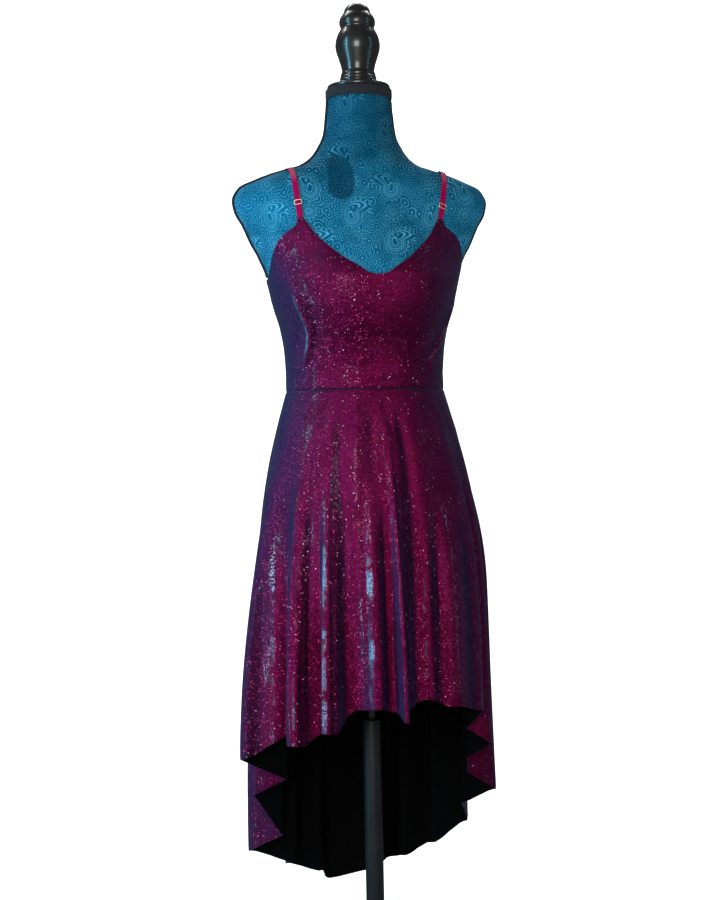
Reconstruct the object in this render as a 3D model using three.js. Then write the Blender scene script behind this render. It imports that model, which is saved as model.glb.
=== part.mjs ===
// High-low strap dress on a limbless dress form with a round base.
//
// Millimetres, +Z up. The origin is the middle of the base's underside, the front faces -Y and the
// wearer's left side is +X. Angles run from the front, positive toward the wearer's left. Heights
// in the tables of the figure count from the waist seam, and drops count down from it.

import * as THREE from 'three';

// Driving dimensions
const WAIST_HEIGHT = 1020;
const CLOTH = 1.3;
const FORM_CLEARANCE = 2;
const SEAM_GAP = 0.3;
const STRAP = { width: 8.5, thickness: 1, frontReach: 106, backReach: 80 };
const SLIDER = { width: 12, length: 8, thickness: 1, bar: 1.1, corner: 1.2 };
const NECK_DISC = { radius: 48.5, bottom: 462.9, top: 469.6 };
const NECK_BRAID = { bottom: 446, top: 462.4, thickness: 2.6 };
const ROD = { radius: 7, bottomDrop: 505 };
const POLE = { radius: 14 };
const BASE = { radius: 180, hubRadius: 30, height: 34 };

// How finely the round and folded surfaces are divided
const FORM_COLUMNS = 36;
const FORM_ROW_HEIGHT = 40;
const BODICE_ROWS = { front: 13, back: 10 };
const BODICE_COLUMN_DEGREES = 8;
const SKIRT_ROWS = 12;
const SKIRT_STEPS_PER_FOLD = 3;
const TURNED_SIDES = 20;
const STRAP_STEPS = 20;

const table = (names, rows) =>
  rows.map((row) => Object.fromEntries(names.map((name, i) => [name, row[i]])));

// Sections of the form: half its width, its reach to the front and the back, and how square it is
const FORM = table(['height', 'half', 'front', 'back', 'square'], [
  [-250, 148, 97, 104, 2.1],
  [-200, 150, 99, 107, 2.1],
  [-150, 147, 99, 106, 2.1],
  [-100, 139, 98, 101, 2.1],
  [-50, 126, 97, 91, 2.1],
  [0, 118.5, 96, 83, 2.15],
  [26, 118.2, 97, 84, 2.2],
  [58, 119.5, 102, 89, 2.25],
  [97, 125.5, 115, 94, 2.3],
  [130, 135.5, 124, 98, 2.3],
  [163, 143, 126, 100, 2.3],
  [184, 149, 120, 101, 2.25],
  [200, 156, 113, 100.5, 2.15],
  [211, 161, 109, 99.5, 2.1],
  [225, 169, 104, 98, 2.05],
  [254, 182, 92, 96, 2],
  [274, 193, 85, 91, 2],
  [290, 196, 79, 87, 2],
  [308, 187, 74, 82, 2],
  [320, 163, 71, 79, 2],
  [331, 135, 68, 76, 2],
  [337, 115, 67, 74, 2],
  [343, 94, 65, 72, 2],
  [356, 75, 61, 67, 2],
  [371, 64, 57, 62, 2],
  [393, 54, 52, 56, 2],
  [420, 50.5, 49, 52, 2],
  [441, 48.7, 47, 50, 2],
  [462.6, 48.7, 47, 50, 2],
]);

// The bodice's upper edge, the same on both sides: neckline, strap peak, armhole and back
const TOP_EDGE = table(['angle', 'height'], [
  [0, 166],
  [5, 168],
  [10, 177],
  [17.5, 191],
  [24, 208],
  [29.5, 228],
  [32.4, 246],
  [33.3, 254],
  [36.7, 254],
  [38, 247],
  [41, 240],
  [48, 231],
  [54, 221],
  [60, 210],
  [66, 198],
  [72, 187],
  [80, 176],
  [90, 171],
  [105, 173],
  [120, 184],
  [138, 200],
  [146, 208],
  [148.8, 212],
  [152.4, 212],
  [156, 206],
  [166, 200],
  [180, 198],
]);

// How far the skirt's mean section stands out past the waist's, to the side, front and back
const FLARE = table(['drop', 'side', 'front', 'back'], [
  [0, 0, 0, 0],
  [54, 15, 14, 17],
  [113, 29, 27, 33],
  [182, 40, 38, 48],
  [239, 45.5, 46, 57],
  [308, 49.5, 53, 64],
  [402, 53, 60, 72],
  [494, 55.5, 65, 78],
  [561, 57, 68, 82],
  [704, 59, 71, 90],
  [810, 59, 72, 93],
]);

// Ridges and hollows of the skirt, round from the seam on the wearer's right past the front:
// the angle at the waist and at the hem, how far it stands out of the mean section at the hem,
// the drops where it starts and where it is full, and the drop of the hem there
const FOLDS = table(['waist', 'hem', 'out', 'start', 'full', 'drop'], [
  [-90, -88, -45, 170, 560, 590],
  [-72, -77, 36, 30, 540, 548],
  [-56, -55.5, -15, 50, 500, 506],
  [-47, -48.5, 19, 40, 500, 517],
  [-40, -42, 8, 150, 500, 518],
  [-34, -35.5, -15, 130, 480, 499],
  [-31, -32, 13, 130, 480, 497],
  [-26, -26.5, 7, 170, 480, 499],
  [-17, -17.5, -13, 170, 450, 467],
  [-5, -5, 2, 150, 450, 464],
  [1.5, 2, -11, 90, 450, 471],
  [4.5, 5.5, 12, 90, 450, 484],
  [8, 9.5, -12, 90, 450, 469],
  [17, 20, -14, 150, 450, 457],
  [29, 33, -1, 80, 450, 470],
  [39, 54.5, 10, 0, 260, 483],
  [47, 62.5, -26, 0, 480, 517],
  [60, 74, 8, 0, 300, 545],
  [78, 86, -28, 60, 540, 570],
  [90, 92, -27, 120, 560, 598],
  [96, 98, 25, 0, 300, 632],
  [107, 110, -14, 60, 620, 655],
  [119, 122, 24, 40, 600, 698],
  [131, 133, -17, 60, 640, 730],
  [140, 142, 22, 40, 640, 742],
  [150, 151.5, -18, 60, 660, 756],
  [159, 161, 22, 40, 680, 769],
  [169, 171, -19, 60, 700, 780],
  [189, 190, 26, 40, 700, 801],
  [202, 203, -21, 60, 680, 772],
  [213, 213.5, 25, 40, 660, 763],
  [223, 223, -25, 60, 640, 748],
  [238, 239, 32, 40, 620, 723],
  [248, 248.5, -36, 120, 600, 688],
  [260, 260, 5, 60, 560, 618],
]);
const FRONT_FOLDS = 19;
const FAN_DROP = 450;

// The two straps: the side, how far out they cross the shoulder and how high their slider sits
const STRAPS = table(['name', 'side', 'shoulderReach', 'sliderRise'], [
  ['right', -1, 114, 24],
  ['left', 1, 124, 20],
]);

// Turned outline of the finial, as radius and height, from the axis at the bottom to the top
const FINIAL_OUTLINE = table(['radius', 'height'], [
  [0, 469.9],
  [32, 469.9],
  [32, 472.6],
  [28.6, 474.4],
  [28.6, 475.6],
  [29.6, 476.9],
  [28, 478.4],
  [28, 480],
  [28.8, 481.6],
  [27, 483.4],
  [27, 485],
  [27.4, 486.6],
  [24.8, 491],
  [26.6, 501],
  [30.8, 514],
  [34, 524],
  [34.8, 531],
  [34, 539],
  [31.4, 547.4],
  [26.8, 555.4],
  [25.4, 558.8],
  [27.4, 562],
  [28.2, 567],
  [27.2, 572.4],
  [24.4, 577.6],
  [20.8, 581.4],
  [19.6, 587.4],
  [15, 593.2],
  [8, 596.7],
  [0, 597.6],
]);

// Turned outline of the base, from the axis at the floor to the top of its hub
const BASE_OUTLINE = table(['radius', 'height'], [
  [0, 0],
  [BASE.radius - 2, 0],
  [BASE.radius, 2],
  [BASE.radius, 8],
  [BASE.radius - 2.5, 11],
  [BASE.radius - 8, 12.5],
  [BASE.hubRadius + 14, 18],
  [BASE.hubRadius, 21],
  [BASE.hubRadius - 3, 30],
  [BASE.hubRadius - 7, BASE.height],
  [0, BASE.height],
]);

const radians = (degrees) => (degrees * Math.PI) / 180;
const mix = (a, b, share) => a + (b - a) * share;
const clamp = (value) => Math.min(1, Math.max(0, value));
const ease = (share) => (1 - Math.cos(Math.PI * clamp(share))) / 2;

// Slope of a smooth curve at one of its rows, level wherever the rows turn back
function slopeAt(rows, key, value, i) {
  const rise = (a, b) => (rows[b][value] - rows[a][value]) / (rows[b][key] - rows[a][key]);
  if (i === 0) return rise(0, 1);
  if (i === rows.length - 1) return rise(i - 1, i);
  const before = rise(i - 1, i);
  const after = rise(i, i + 1);
  return before * after > 0 ? (2 * before * after) / (before + after) : 0;
}

// Value of one column at a place along another, on a smooth curve through the rows
function along(rows, key, value, place) {
  const last = rows.length - 2;
  let i = 0;
  while (i < last && place > rows[i + 1][key]) i += 1;
  const width = rows[i + 1][key] - rows[i][key];
  const t = clamp((place - rows[i][key]) / width);
  const from = rows[i][value];
  const to = rows[i + 1][value];
  const rise = to - from;
  const leave = slopeAt(rows, key, value, i) * width;
  const arrive = slopeAt(rows, key, value, i + 1) * width;
  return from + t * (leave + t * (3 * rise - 2 * leave - arrive + t * (leave + arrive - 2 * rise)));
}

// The form's section at a height, made larger all round by a margin
function formSection(height, margin) {
  return {
    half: along(FORM, 'height', 'half', height) + margin,
    front: along(FORM, 'height', 'front', height) + margin,
    back: along(FORM, 'height', 'back', height) + margin,
    square: along(FORM, 'height', 'square', height),
  };
}

function sectionPoint(section, angle, height) {
  const across = Math.sin(radians(angle));
  const ahead = Math.cos(radians(angle));
  const power = section.square;
  const scale = (Math.abs(across) ** power + Math.abs(ahead) ** power) ** (-1 / power);
  const depth = ahead > 0 ? section.front : section.back;
  return new THREE.Vector3(section.half * scale * across, -depth * scale * ahead, height);
}

// The skirt's mean section: the bodice's outside at the waist, with the flare added
function skirtSection(drop) {
  const waist = formSection(0, FORM_CLEARANCE + CLOTH);
  return {
    half: waist.half + along(FLARE, 'drop', 'side', drop),
    front: waist.front + along(FLARE, 'drop', 'front', drop),
    back: waist.back + along(FLARE, 'drop', 'back', drop),
    square: mix(waist.square, 2, clamp(drop / FAN_DROP)),
  };
}

// A fold row by its running number, with whole turns added to its angles
function foldAt(number) {
  const turns = Math.floor(number / FOLDS.length);
  const row = FOLDS[number - turns * FOLDS.length];
  return { ...row, waist: row.waist + 360 * turns, hem: row.hem + 360 * turns };
}

function hemDrop(place) {
  const i = Math.floor(place);
  return mix(foldAt(i).drop, foldAt(i + 1).drop, ease(place - i));
}

// Outer point of the skirt at a place along the folds and a drop below the waist
function skirtPoint(place, drop) {
  const i = Math.floor(place);
  const pair = [foldAt(i), foldAt(i + 1)];
  const fan = 1 - (1 - clamp(drop / FAN_DROP)) ** 3;
  const angles = pair.map((fold) => mix(fold.waist, fold.hem, fan));
  const outs = pair.map((fold) => fold.out * ease((drop - fold.start) / (fold.full - fold.start)));
  const point = sectionPoint(skirtSection(drop), mix(...angles, place - i), -drop);
  const reach = Math.hypot(point.x, point.y);
  const grown = 1 + mix(...outs, ease(place - i)) / reach;
  return new THREE.Vector3(point.x * grown, point.y * grown, point.z);
}

// Inner point: the outer one moved in level, square to the skirt's section there
function skirtInnerPoint(place, drop) {
  const step = 0.02;
  const run = skirtPoint(place + step, drop).sub(skirtPoint(place - step, drop)).normalize();
  return skirtPoint(place, drop).add(new THREE.Vector3(-run.y, run.x, 0).multiplyScalar(CLOTH));
}

// Geometry from points and triangles, turned so that its faces point out
function closedGeometry(points, triangles) {
  let volume = 0;
  for (const [a, b, c] of triangles) volume += points[a].dot(points[b].clone().cross(points[c]));
  const order = volume > 0 ? triangles : triangles.map(([a, b, c]) => [a, c, b]);
  const geometry = new THREE.BufferGeometry();
  const positions = points.flatMap((point) => [point.x, point.y, point.z]);
  geometry.setAttribute('position', new THREE.Float32BufferAttribute(positions, 3));
  geometry.setIndex(order.flat());
  geometry.computeVertexNormals();
  return geometry;
}

const quad = (a, b, c, d) => [[a, b, c], [a, c, d]];

// Closed wall between an outer and an inner grid of points, with its four edges
function wallGeometry(outer, inner) {
  const rows = outer.length;
  const columns = outer[0].length;
  const at = (row, column) => row * columns + column;
  const within = (row, column) => rows * columns + at(row, column);
  const triangles = [];
  for (let row = 0; row < rows - 1; row += 1) {
    for (let column = 0; column < columns - 1; column += 1) {
      const corners = [[row, column], [row, column + 1], [row + 1, column + 1], [row + 1, column]];
      triangles.push(...quad(...corners.map((corner) => at(...corner))));
      triangles.push(...quad(...corners.reverse().map((corner) => within(...corner))));
    }
    for (const [column, flip] of [[0, false], [columns - 1, true]]) {
      const edge = [at(row, column), at(row + 1, column), within(row + 1, column), within(row, column)];
      triangles.push(...quad(...(flip ? edge.reverse() : edge)));
    }
  }
  for (let column = 0; column < columns - 1; column += 1) {
    for (const [row, flip] of [[0, true], [rows - 1, false]]) {
      const edge = [at(row, column), at(row, column + 1), within(row, column + 1), within(row, column)];
      triangles.push(...quad(...(flip ? edge.reverse() : edge)));
    }
  }
  return closedGeometry([...outer.flat(), ...inner.flat()], triangles);
}

// Closed body through rings of equal length, filled by a fan at both ends
function loftGeometry(rings) {
  const count = rings[0].length;
  const points = rings.flat();
  const triangles = [];
  rings.slice(1).forEach((ring, row) => {
    for (let i = 0; i < count; i += 1) {
      const next = (i + 1) % count;
      const below = row * count;
      triangles.push(...quad(below + i, below + next, below + count + next, below + count + i));
    }
  });
  const top = (rings.length - 1) * count;
  for (let i = 1; i < count - 1; i += 1) {
    triangles.push([0, i + 1, i], [top, top + i, top + i + 1]);
  }
  return closedGeometry(points, triangles);
}

// Closed band between an outer and an inner ring at two heights
function bandGeometry(outerAt, innerAt, bottom, top) {
  const turn = [];
  for (let i = 0; i < FORM_COLUMNS; i += 1) turn.push((360 * i) / FORM_COLUMNS);
  const rings = [[outerAt, bottom], [outerAt, top], [innerAt, top], [innerAt, bottom]];
  const points = rings.flatMap(([pointAt, height]) => turn.map((angle) => pointAt(angle, height)));
  const triangles = [];
  for (let ring = 0; ring < rings.length; ring += 1) {
    const here = ring * FORM_COLUMNS;
    const there = ((ring + 1) % rings.length) * FORM_COLUMNS;
    for (let i = 0; i < FORM_COLUMNS; i += 1) {
      const next = (i + 1) % FORM_COLUMNS;
      triangles.push(...quad(here + i, here + next, there + next, there + i));
    }
  }
  return closedGeometry(points, triangles);
}

function turnedGeometry(outline, sides) {
  const geometry = new THREE.LatheGeometry(
    outline.map((row) => new THREE.Vector2(row.radius, row.height)),
    sides,
  );
  return geometry.rotateX(Math.PI / 2);
}

const cylinderOutline = (radius, bottom, top) => table(['radius', 'height'], [
  [0, bottom],
  [radius, bottom],
  [radius, top],
  [0, top],
]);

function formGeometry() {
  const angles = [];
  for (let i = 0; i < FORM_COLUMNS; i += 1) angles.push((360 * i) / FORM_COLUMNS);
  const heights = FORM.flatMap((row, i) => {
    const next = FORM[i + 1];
    if (!next) return [row.height];
    const wide = next.height - row.height > FORM_ROW_HEIGHT;
    return wide ? [row.height, (row.height + next.height) / 2] : [row.height];
  });
  const ring = (height) => angles.map((angle) => sectionPoint(formSection(height, 0), angle, height));
  return loftGeometry(heights.map(ring));
}

// Height of the bodice's upper edge at an angle, which may count past the middle of the back
const topHeight = (angle) =>
  along(TOP_EDGE, 'angle', 'height', angle > 180 ? 360 - angle : Math.abs(angle));

// Angles of the bodice's columns from one side of the body's middle to the other: every row of
// the edge's table, and more between the rows that lie far apart
function bodiceAngles(from, to) {
  const rows = TOP_EDGE.map((row) => row.angle).filter((angle) => angle > from && angle < to);
  const marks = [from, ...rows, to].sort((a, b) => a - b);
  return marks.flatMap((mark, i) => {
    if (i === marks.length - 1) return [mark];
    const parts = Math.ceil((marks[i + 1] - mark) / BODICE_COLUMN_DEGREES);
    return Array.from({ length: parts }, (_, part) => mix(mark, marks[i + 1], part / parts));
  });
}

function bodiceGeometry(angles, rows) {
  const grid = (margin) => Array.from({ length: rows + 1 }, (_, row) =>
    angles.map((angle) => {
      const height = mix(SEAM_GAP / 2, topHeight(angle), row / rows);
      return sectionPoint(formSection(height, margin), angle, height);
    }));
  return wallGeometry(grid(FORM_CLEARANCE + CLOTH), grid(FORM_CLEARANCE));
}

// Half the seam gap, as an angle at the body's side
const BODICE_SEAM_DEGREES = 0.095;

function bodiceFrontGeometry() {
  const half = bodiceAngles(0, 90 - BODICE_SEAM_DEGREES);
  const mirrored = half.slice(1).reverse().map((angle) => -angle);
  return bodiceGeometry([...mirrored, ...half], BODICE_ROWS.front);
}

function bodiceBackGeometry() {
  const half = bodiceAngles(90 + BODICE_SEAM_DEGREES, 180);
  const mirrored = half.slice(0, -1).reverse().map((angle) => 360 - angle);
  return bodiceGeometry([...half, ...mirrored], BODICE_ROWS.back);
}

// Half the seam gap, as a share of the fold beside the seam
const SKIRT_SEAM_SHARE = 0.008;
const ROW_CROWDING = 1.35;

function skirtGeometry(firstFold, lastFold) {
  const count = (lastFold - firstFold) * SKIRT_STEPS_PER_FOLD;
  const places = Array.from({ length: count + 1 }, (_, i) => firstFold + i / SKIRT_STEPS_PER_FOLD);
  places[0] += SKIRT_SEAM_SHARE;
  places[count] -= SKIRT_SEAM_SHARE;
  const grid = (pointAt) => Array.from({ length: SKIRT_ROWS + 1 }, (_, row) =>
    places.map((place) => {
      const share = (row / SKIRT_ROWS) ** ROW_CROWDING;
      return pointAt(place, mix(SEAM_GAP / 2, hemDrop(place), share));
    }));
  return wallGeometry(grid(skirtPoint), grid(skirtInnerPoint));
}

// Above zero outside the form, below zero inside it
function formField(x, y, z) {
  const section = formSection(z, 0);
  const depth = y < 0 ? section.front : section.back;
  const power = section.square;
  return (Math.abs(x) / section.half) ** power + (Math.abs(y) / depth) ** power - 1;
}

// Where a ray from inside the shoulder meets the form's surface, in the plane of one x
const SHOULDER_CORE = 200;
function shoulderPoint(x, angle) {
  const ahead = -Math.cos(angle);
  const up = Math.sin(angle);
  let inside = 0;
  let outside = 240;
  for (let i = 0; i < 40; i += 1) {
    const middle = (inside + outside) / 2;
    const within = formField(x, ahead * middle, SHOULDER_CORE + up * middle) < 0;
    if (within) inside = middle;
    else outside = middle;
  }
  return new THREE.Vector3(x, ahead * inside, SHOULDER_CORE + up * inside);
}

function formNormal(point) {
  const step = 0.5;
  const { x, y, z } = point;
  return new THREE.Vector3(
    formField(x + step, y, z) - formField(x - step, y, z),
    formField(x, y + step, z) - formField(x, y - step, z),
    formField(x, y, z + step) - formField(x, y, z - step),
  ).normalize();
}

// Angle round the shoulder at which the surface has a given height, on the front or the back
function shoulderAngle(reach, height, ahead) {
  const section = formSection(height, 0);
  const power = section.square;
  const share = (1 - (reach / section.half) ** power) ** (1 / power);
  const depth = ahead ? section.front * share : section.back * share;
  const angle = Math.atan2(height - SHOULDER_CORE, depth);
  return ahead ? angle : Math.PI - angle;
}

// Points of a strap's route on the form, evenly numbered from its front end to its back end
function strapRoute(strap) {
  const ends = {
    front: shoulderAngle(STRAP.frontReach, topHeight(35) + SEAM_GAP, true),
    back: shoulderAngle(STRAP.backReach, topHeight(150) + SEAM_GAP, false),
  };
  const reaches = table(['angle', 'reach'], [
    [ends.front, STRAP.frontReach],
    [Math.PI / 2, strap.shoulderReach],
    [ends.back, STRAP.backReach],
  ]);
  const count = 240;
  return Array.from({ length: count + 1 }, (_, i) => {
    const angle = mix(ends.front, ends.back, i / count);
    return shoulderPoint(strap.side * along(reaches, 'angle', 'reach', angle), angle);
  });
}

// A frame on the route at a length from its front end: the point, its run, across and out
function routeFrame(route, length) {
  let i = 0;
  let left = length;
  while (i < route.length - 2 && left > route[i].distanceTo(route[i + 1])) {
    left -= route[i].distanceTo(route[i + 1]);
    i += 1;
  }
  const share = clamp(left / route[i].distanceTo(route[i + 1]));
  const point = route[i].clone().lerp(route[i + 1], share);
  const out = formNormal(point);
  const run = route[i + 1].clone().sub(route[i]).normalize();
  const across = run.clone().cross(out).normalize();
  return { point, run: out.clone().cross(across).normalize(), across, out };
}

function routeLength(route) {
  return route.slice(1).reduce((sum, point, i) => sum + point.distanceTo(route[i]), 0);
}

// Height of the slider above the form, and how much the strap rises to pass over its middle bar
const SLIDER_LIFT = FORM_CLEARANCE + STRAP.thickness + SEAM_GAP;
const STRAP_RISE = STRAP.thickness + SLIDER.thickness + 2 * SEAM_GAP;
const RISE_TOP = SLIDER.bar / 2 + 0.15;
const RISE_FOOT = SLIDER.length / 2 - SLIDER.bar - 0.15;

function strapLift(fromSlider) {
  const share = clamp((RISE_FOOT - Math.abs(fromSlider)) / (RISE_FOOT - RISE_TOP));
  return FORM_CLEARANCE + STRAP_RISE * share;
}

function strapGeometry(strap) {
  const route = strapRoute(strap);
  const total = routeLength(route);
  const even = Array.from({ length: STRAP_STEPS + 1 }, (_, i) => (total * i) / STRAP_STEPS);
  const near = [-RISE_FOOT, -RISE_TOP, 0, RISE_TOP, RISE_FOOT].map((from) => strap.sliderRise + from);
  const far = even.filter((length) => Math.abs(length - strap.sliderRise) > RISE_FOOT + 1);
  const lengths = [...far, ...near].sort((a, b) => a - b);
  const rings = lengths.map((length, i) => {
    const frame = routeFrame(route, length);
    const isEnd = i === 0 || i === lengths.length - 1;
    const out = isEnd ? frame.out.clone().setZ(0).normalize() : frame.out;
    const across = isEnd ? new THREE.Vector3(-out.y, out.x, 0) : frame.across;
    const sense = Math.sign(across.dot(frame.across));
    const low = strapLift(length - strap.sliderRise);
    const corners = [[-1, low], [1, low], [1, low + STRAP.thickness], [-1, low + STRAP.thickness]];
    return corners.map(([side, lift]) => frame.point.clone()
      .addScaledVector(across, (sense * side * STRAP.width) / 2)
      .addScaledVector(out, lift));
  });
  return loftGeometry(rings);
}

function roundedRectangle(target, width, height, radius, middle) {
  const x = width / 2 - radius;
  const y = height / 2 - radius;
  target.absarc(x, middle + y, radius, 0, Math.PI / 2);
  target.absarc(-x, middle + y, radius, Math.PI / 2, Math.PI);
  target.absarc(-x, middle - y, radius, Math.PI, 1.5 * Math.PI);
  target.absarc(x, middle - y, radius, 1.5 * Math.PI, 2 * Math.PI);
  return target;
}

// Strap slider: a flat frame with a middle bar, so it has two windows for the strap
function sliderGeometry(strap) {
  const window = (SLIDER.length - 3 * SLIDER.bar) / 2;
  const windowWidth = SLIDER.width - 2 * SLIDER.bar;
  const shape = roundedRectangle(new THREE.Shape(), SLIDER.width, SLIDER.length, SLIDER.corner, 0);
  for (const side of [-1, 1]) {
    const middle = (side * (SLIDER.bar + window)) / 2;
    shape.holes.push(roundedRectangle(new THREE.Path(), windowWidth, window, 0.4, middle));
  }
  const options = { depth: SLIDER.thickness, bevelEnabled: false, curveSegments: 2 };
  const geometry = new THREE.ExtrudeGeometry(shape, options);
  const frame = routeFrame(strapRoute(strap), strap.sliderRise);
  const place = new THREE.Matrix4().makeBasis(frame.across, frame.out.clone().cross(frame.across), frame.out);
  place.setPosition(frame.point.clone().addScaledVector(frame.out, SLIDER_LIFT));
  return geometry.applyMatrix4(place);
}

const MATERIALS = {
  glitterKnit: { color: 0x6e1242, roughness: 0.45, metalness: 0.35 },
  satinElastic: { color: 0xbe0050, roughness: 0.35, metalness: 0 },
  goldMetal: { color: 0xd9a86a, roughness: 0.25, metalness: 1 },
  velvet: { color: 0x14708f, roughness: 0.85, metalness: 0 },
  blackWood: { color: 0x15110f, roughness: 0.3, metalness: 0 },
  blackBraid: { color: 0x101012, roughness: 0.8, metalness: 0 },
  greySteel: { color: 0x8a8d90, roughness: 0.35, metalness: 1 },
  blackPaint: { color: 0x121314, roughness: 0.4, metalness: 0.3 },
};

const onWaist = new THREE.Group();
onWaist.position.z = WAIST_HEIGHT;

function add(parent, name, geometry, finish) {
  const mesh = new THREE.Mesh(geometry, new THREE.MeshStandardMaterial(MATERIALS[finish]));
  mesh.name = name;
  parent.add(mesh);
}

add(onWaist, 'bodice_front', bodiceFrontGeometry(), 'glitterKnit');
add(onWaist, 'bodice_back', bodiceBackGeometry(), 'glitterKnit');
add(onWaist, 'skirt_front', skirtGeometry(0, FRONT_FOLDS), 'glitterKnit');
add(onWaist, 'skirt_back', skirtGeometry(FRONT_FOLDS, FOLDS.length), 'glitterKnit');
for (const strap of STRAPS) {
  add(onWaist, `strap_${strap.name}`, strapGeometry(strap), 'satinElastic');
  add(onWaist, `slider_${strap.name}`, sliderGeometry(strap), 'goldMetal');
}

const bandPoint = (margin) => (angle, height) =>
  sectionPoint(formSection(height, margin), angle, height);
const rodTop = FORM[0].height - SEAM_GAP;
const poleTop = WAIST_HEIGHT - ROD.bottomDrop - SEAM_GAP;

add(onWaist, 'form_torso', formGeometry(), 'velvet');
add(onWaist, 'form_neck_braid', bandGeometry(
  bandPoint(SEAM_GAP + NECK_BRAID.thickness),
  bandPoint(SEAM_GAP),
  NECK_BRAID.bottom,
  NECK_BRAID.top,
), 'blackBraid');
add(onWaist, 'form_neck_disc', turnedGeometry(
  cylinderOutline(NECK_DISC.radius, NECK_DISC.bottom, NECK_DISC.top), FORM_COLUMNS), 'blackWood');
add(onWaist, 'form_finial', turnedGeometry(FINIAL_OUTLINE, TURNED_SIDES), 'blackWood');
add(onWaist, 'form_rod', turnedGeometry(
  cylinderOutline(ROD.radius, -ROD.bottomDrop, rodTop), TURNED_SIDES), 'greySteel');

const part = new THREE.Group();
part.add(onWaist);
add(part, 'form_pole', turnedGeometry(
  cylinderOutline(POLE.radius, BASE.height + SEAM_GAP, poleTop), TURNED_SIDES), 'blackPaint');
add(part, 'form_base', turnedGeometry(BASE_OUTLINE, FORM_COLUMNS), 'blackPaint');

export default part;
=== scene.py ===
"""High-low dress of glitter knit on a limbless dress form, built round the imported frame."""

import math

import bpy
import numpy as np
from bpy.props import FloatProperty, FloatVectorProperty, IntProperty, PointerProperty
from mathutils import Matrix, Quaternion, Vector


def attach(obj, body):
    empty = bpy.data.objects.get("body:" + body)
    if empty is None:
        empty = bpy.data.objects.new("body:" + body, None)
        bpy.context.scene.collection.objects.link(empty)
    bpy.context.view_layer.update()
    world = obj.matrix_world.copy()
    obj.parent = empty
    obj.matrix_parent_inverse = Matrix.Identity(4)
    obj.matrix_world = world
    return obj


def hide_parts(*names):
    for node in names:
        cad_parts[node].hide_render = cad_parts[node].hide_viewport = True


bl_info = {
    "name": "High-low dress on a dress form",
    "version": (1, 0, 0),
    "blender": (4, 5, 0),
    "location": "View3D > Sidebar > Dress",
    "description": "Builds a high-low dress of glitter knit and the form that wears it",
    "category": "Add Mesh",
}

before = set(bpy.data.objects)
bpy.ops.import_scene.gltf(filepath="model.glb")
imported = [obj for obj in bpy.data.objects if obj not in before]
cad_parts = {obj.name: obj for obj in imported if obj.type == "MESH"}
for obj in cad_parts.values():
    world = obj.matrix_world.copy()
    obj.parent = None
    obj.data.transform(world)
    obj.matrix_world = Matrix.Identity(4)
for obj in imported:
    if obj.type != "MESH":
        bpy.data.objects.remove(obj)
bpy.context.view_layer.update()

# Tables hold millimetres and degrees. Heights count up from the waist seam and drops down from it.
# The origin is the middle of the base's underside, the front is -Y and the wearer's left is +X.
MM = 0.001
WAIST_HEIGHT = 1020
FORM_CLEARANCE = 2
CLOTH = 1.3
SEAM_GAP = 0.3

# Length round the waist that one degree stands for
GIRTH_STEP = 2.1

# How far cloth dips at a seam, how much of that at a side seam, and how soon it fades out
SEAM_DIP = 1.1
SIDE_SEAM_SHARE = 0.45
SEAM_FADE = 1.5
BODICE_SIDE_FADE = 1.6
SKIRT_SIDE_FADE = 2.0
# Half the gap of the bodice's side seams, in degrees
SIDE_SEAM_HALF = 0.095


class Table:
    """Rows of numbers, read along the first column on smooth curves that never pass a row."""

    def __init__(self, names, rows):
        rows = np.array(rows, float)
        self.key = rows[:, 0]
        self.columns = {}
        for name, values in zip(names[1:], rows.T[1:]):
            rise = np.diff(values) / np.diff(self.key)
            before, after = rise[:-1], rise[1:]
            turns = before * after <= 0
            total = np.where(turns, 1, before + after)
            inner = np.where(turns, 0, 2 * before * after / total)
            self.columns[name] = (values, np.concatenate([rise[:1], inner, rise[-1:]]))

    def at(self, name, place):
        values, slopes = self.columns[name]
        place = np.asarray(place, float)
        i = np.clip(np.searchsorted(self.key, place, side="left") - 1, 0, len(self.key) - 2)
        width = self.key[i + 1] - self.key[i]
        t = np.clip((place - self.key[i]) / width, 0, 1)
        rise = values[i + 1] - values[i]
        leave, arrive = slopes[i] * width, slopes[i + 1] * width
        curve = 3 * rise - 2 * leave - arrive + t * (leave + arrive - 2 * rise)
        return values[i] + t * (leave + t * curve)


# Sections of the form: half width, depth to the front and to the back, and how square it is
FORM = Table(["height", "half", "front", "back", "square"], [
    [-250, 148, 97, 104, 2.1], [-200, 150, 99, 107, 2.1], [-150, 147, 99, 106, 2.1],
    [-100, 139, 98, 101, 2.1], [-50, 126, 97, 91, 2.1], [0, 118.5, 96, 83, 2.15],
    [26, 118.2, 97, 84, 2.2], [58, 119.5, 102, 89, 2.25], [97, 125.5, 115, 94, 2.3],
    [130, 135.5, 124, 98, 2.3], [163, 143, 126, 100, 2.3], [184, 149, 120, 101, 2.25],
    [200, 156, 113, 100.5, 2.15], [211, 161, 109, 99.5, 2.1], [225, 169, 104, 98, 2.05],
    [254, 182, 92, 96, 2], [274, 193, 85, 91, 2], [290, 196, 79, 87, 2], [308, 187, 74, 82, 2],
    [320, 163, 71, 79, 2], [331, 135, 68, 76, 2], [337, 115, 67, 74, 2], [343, 94, 65, 72, 2],
    [356, 75, 61, 67, 2], [371, 64, 57, 62, 2], [393, 54, 52, 56, 2], [420, 50.5, 49, 52, 2],
    [441, 48.7, 47, 50, 2], [462.6, 48.7, 47, 50, 2],
])

TORSO_ROWS, TORSO_COLUMNS = 190, 192

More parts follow.
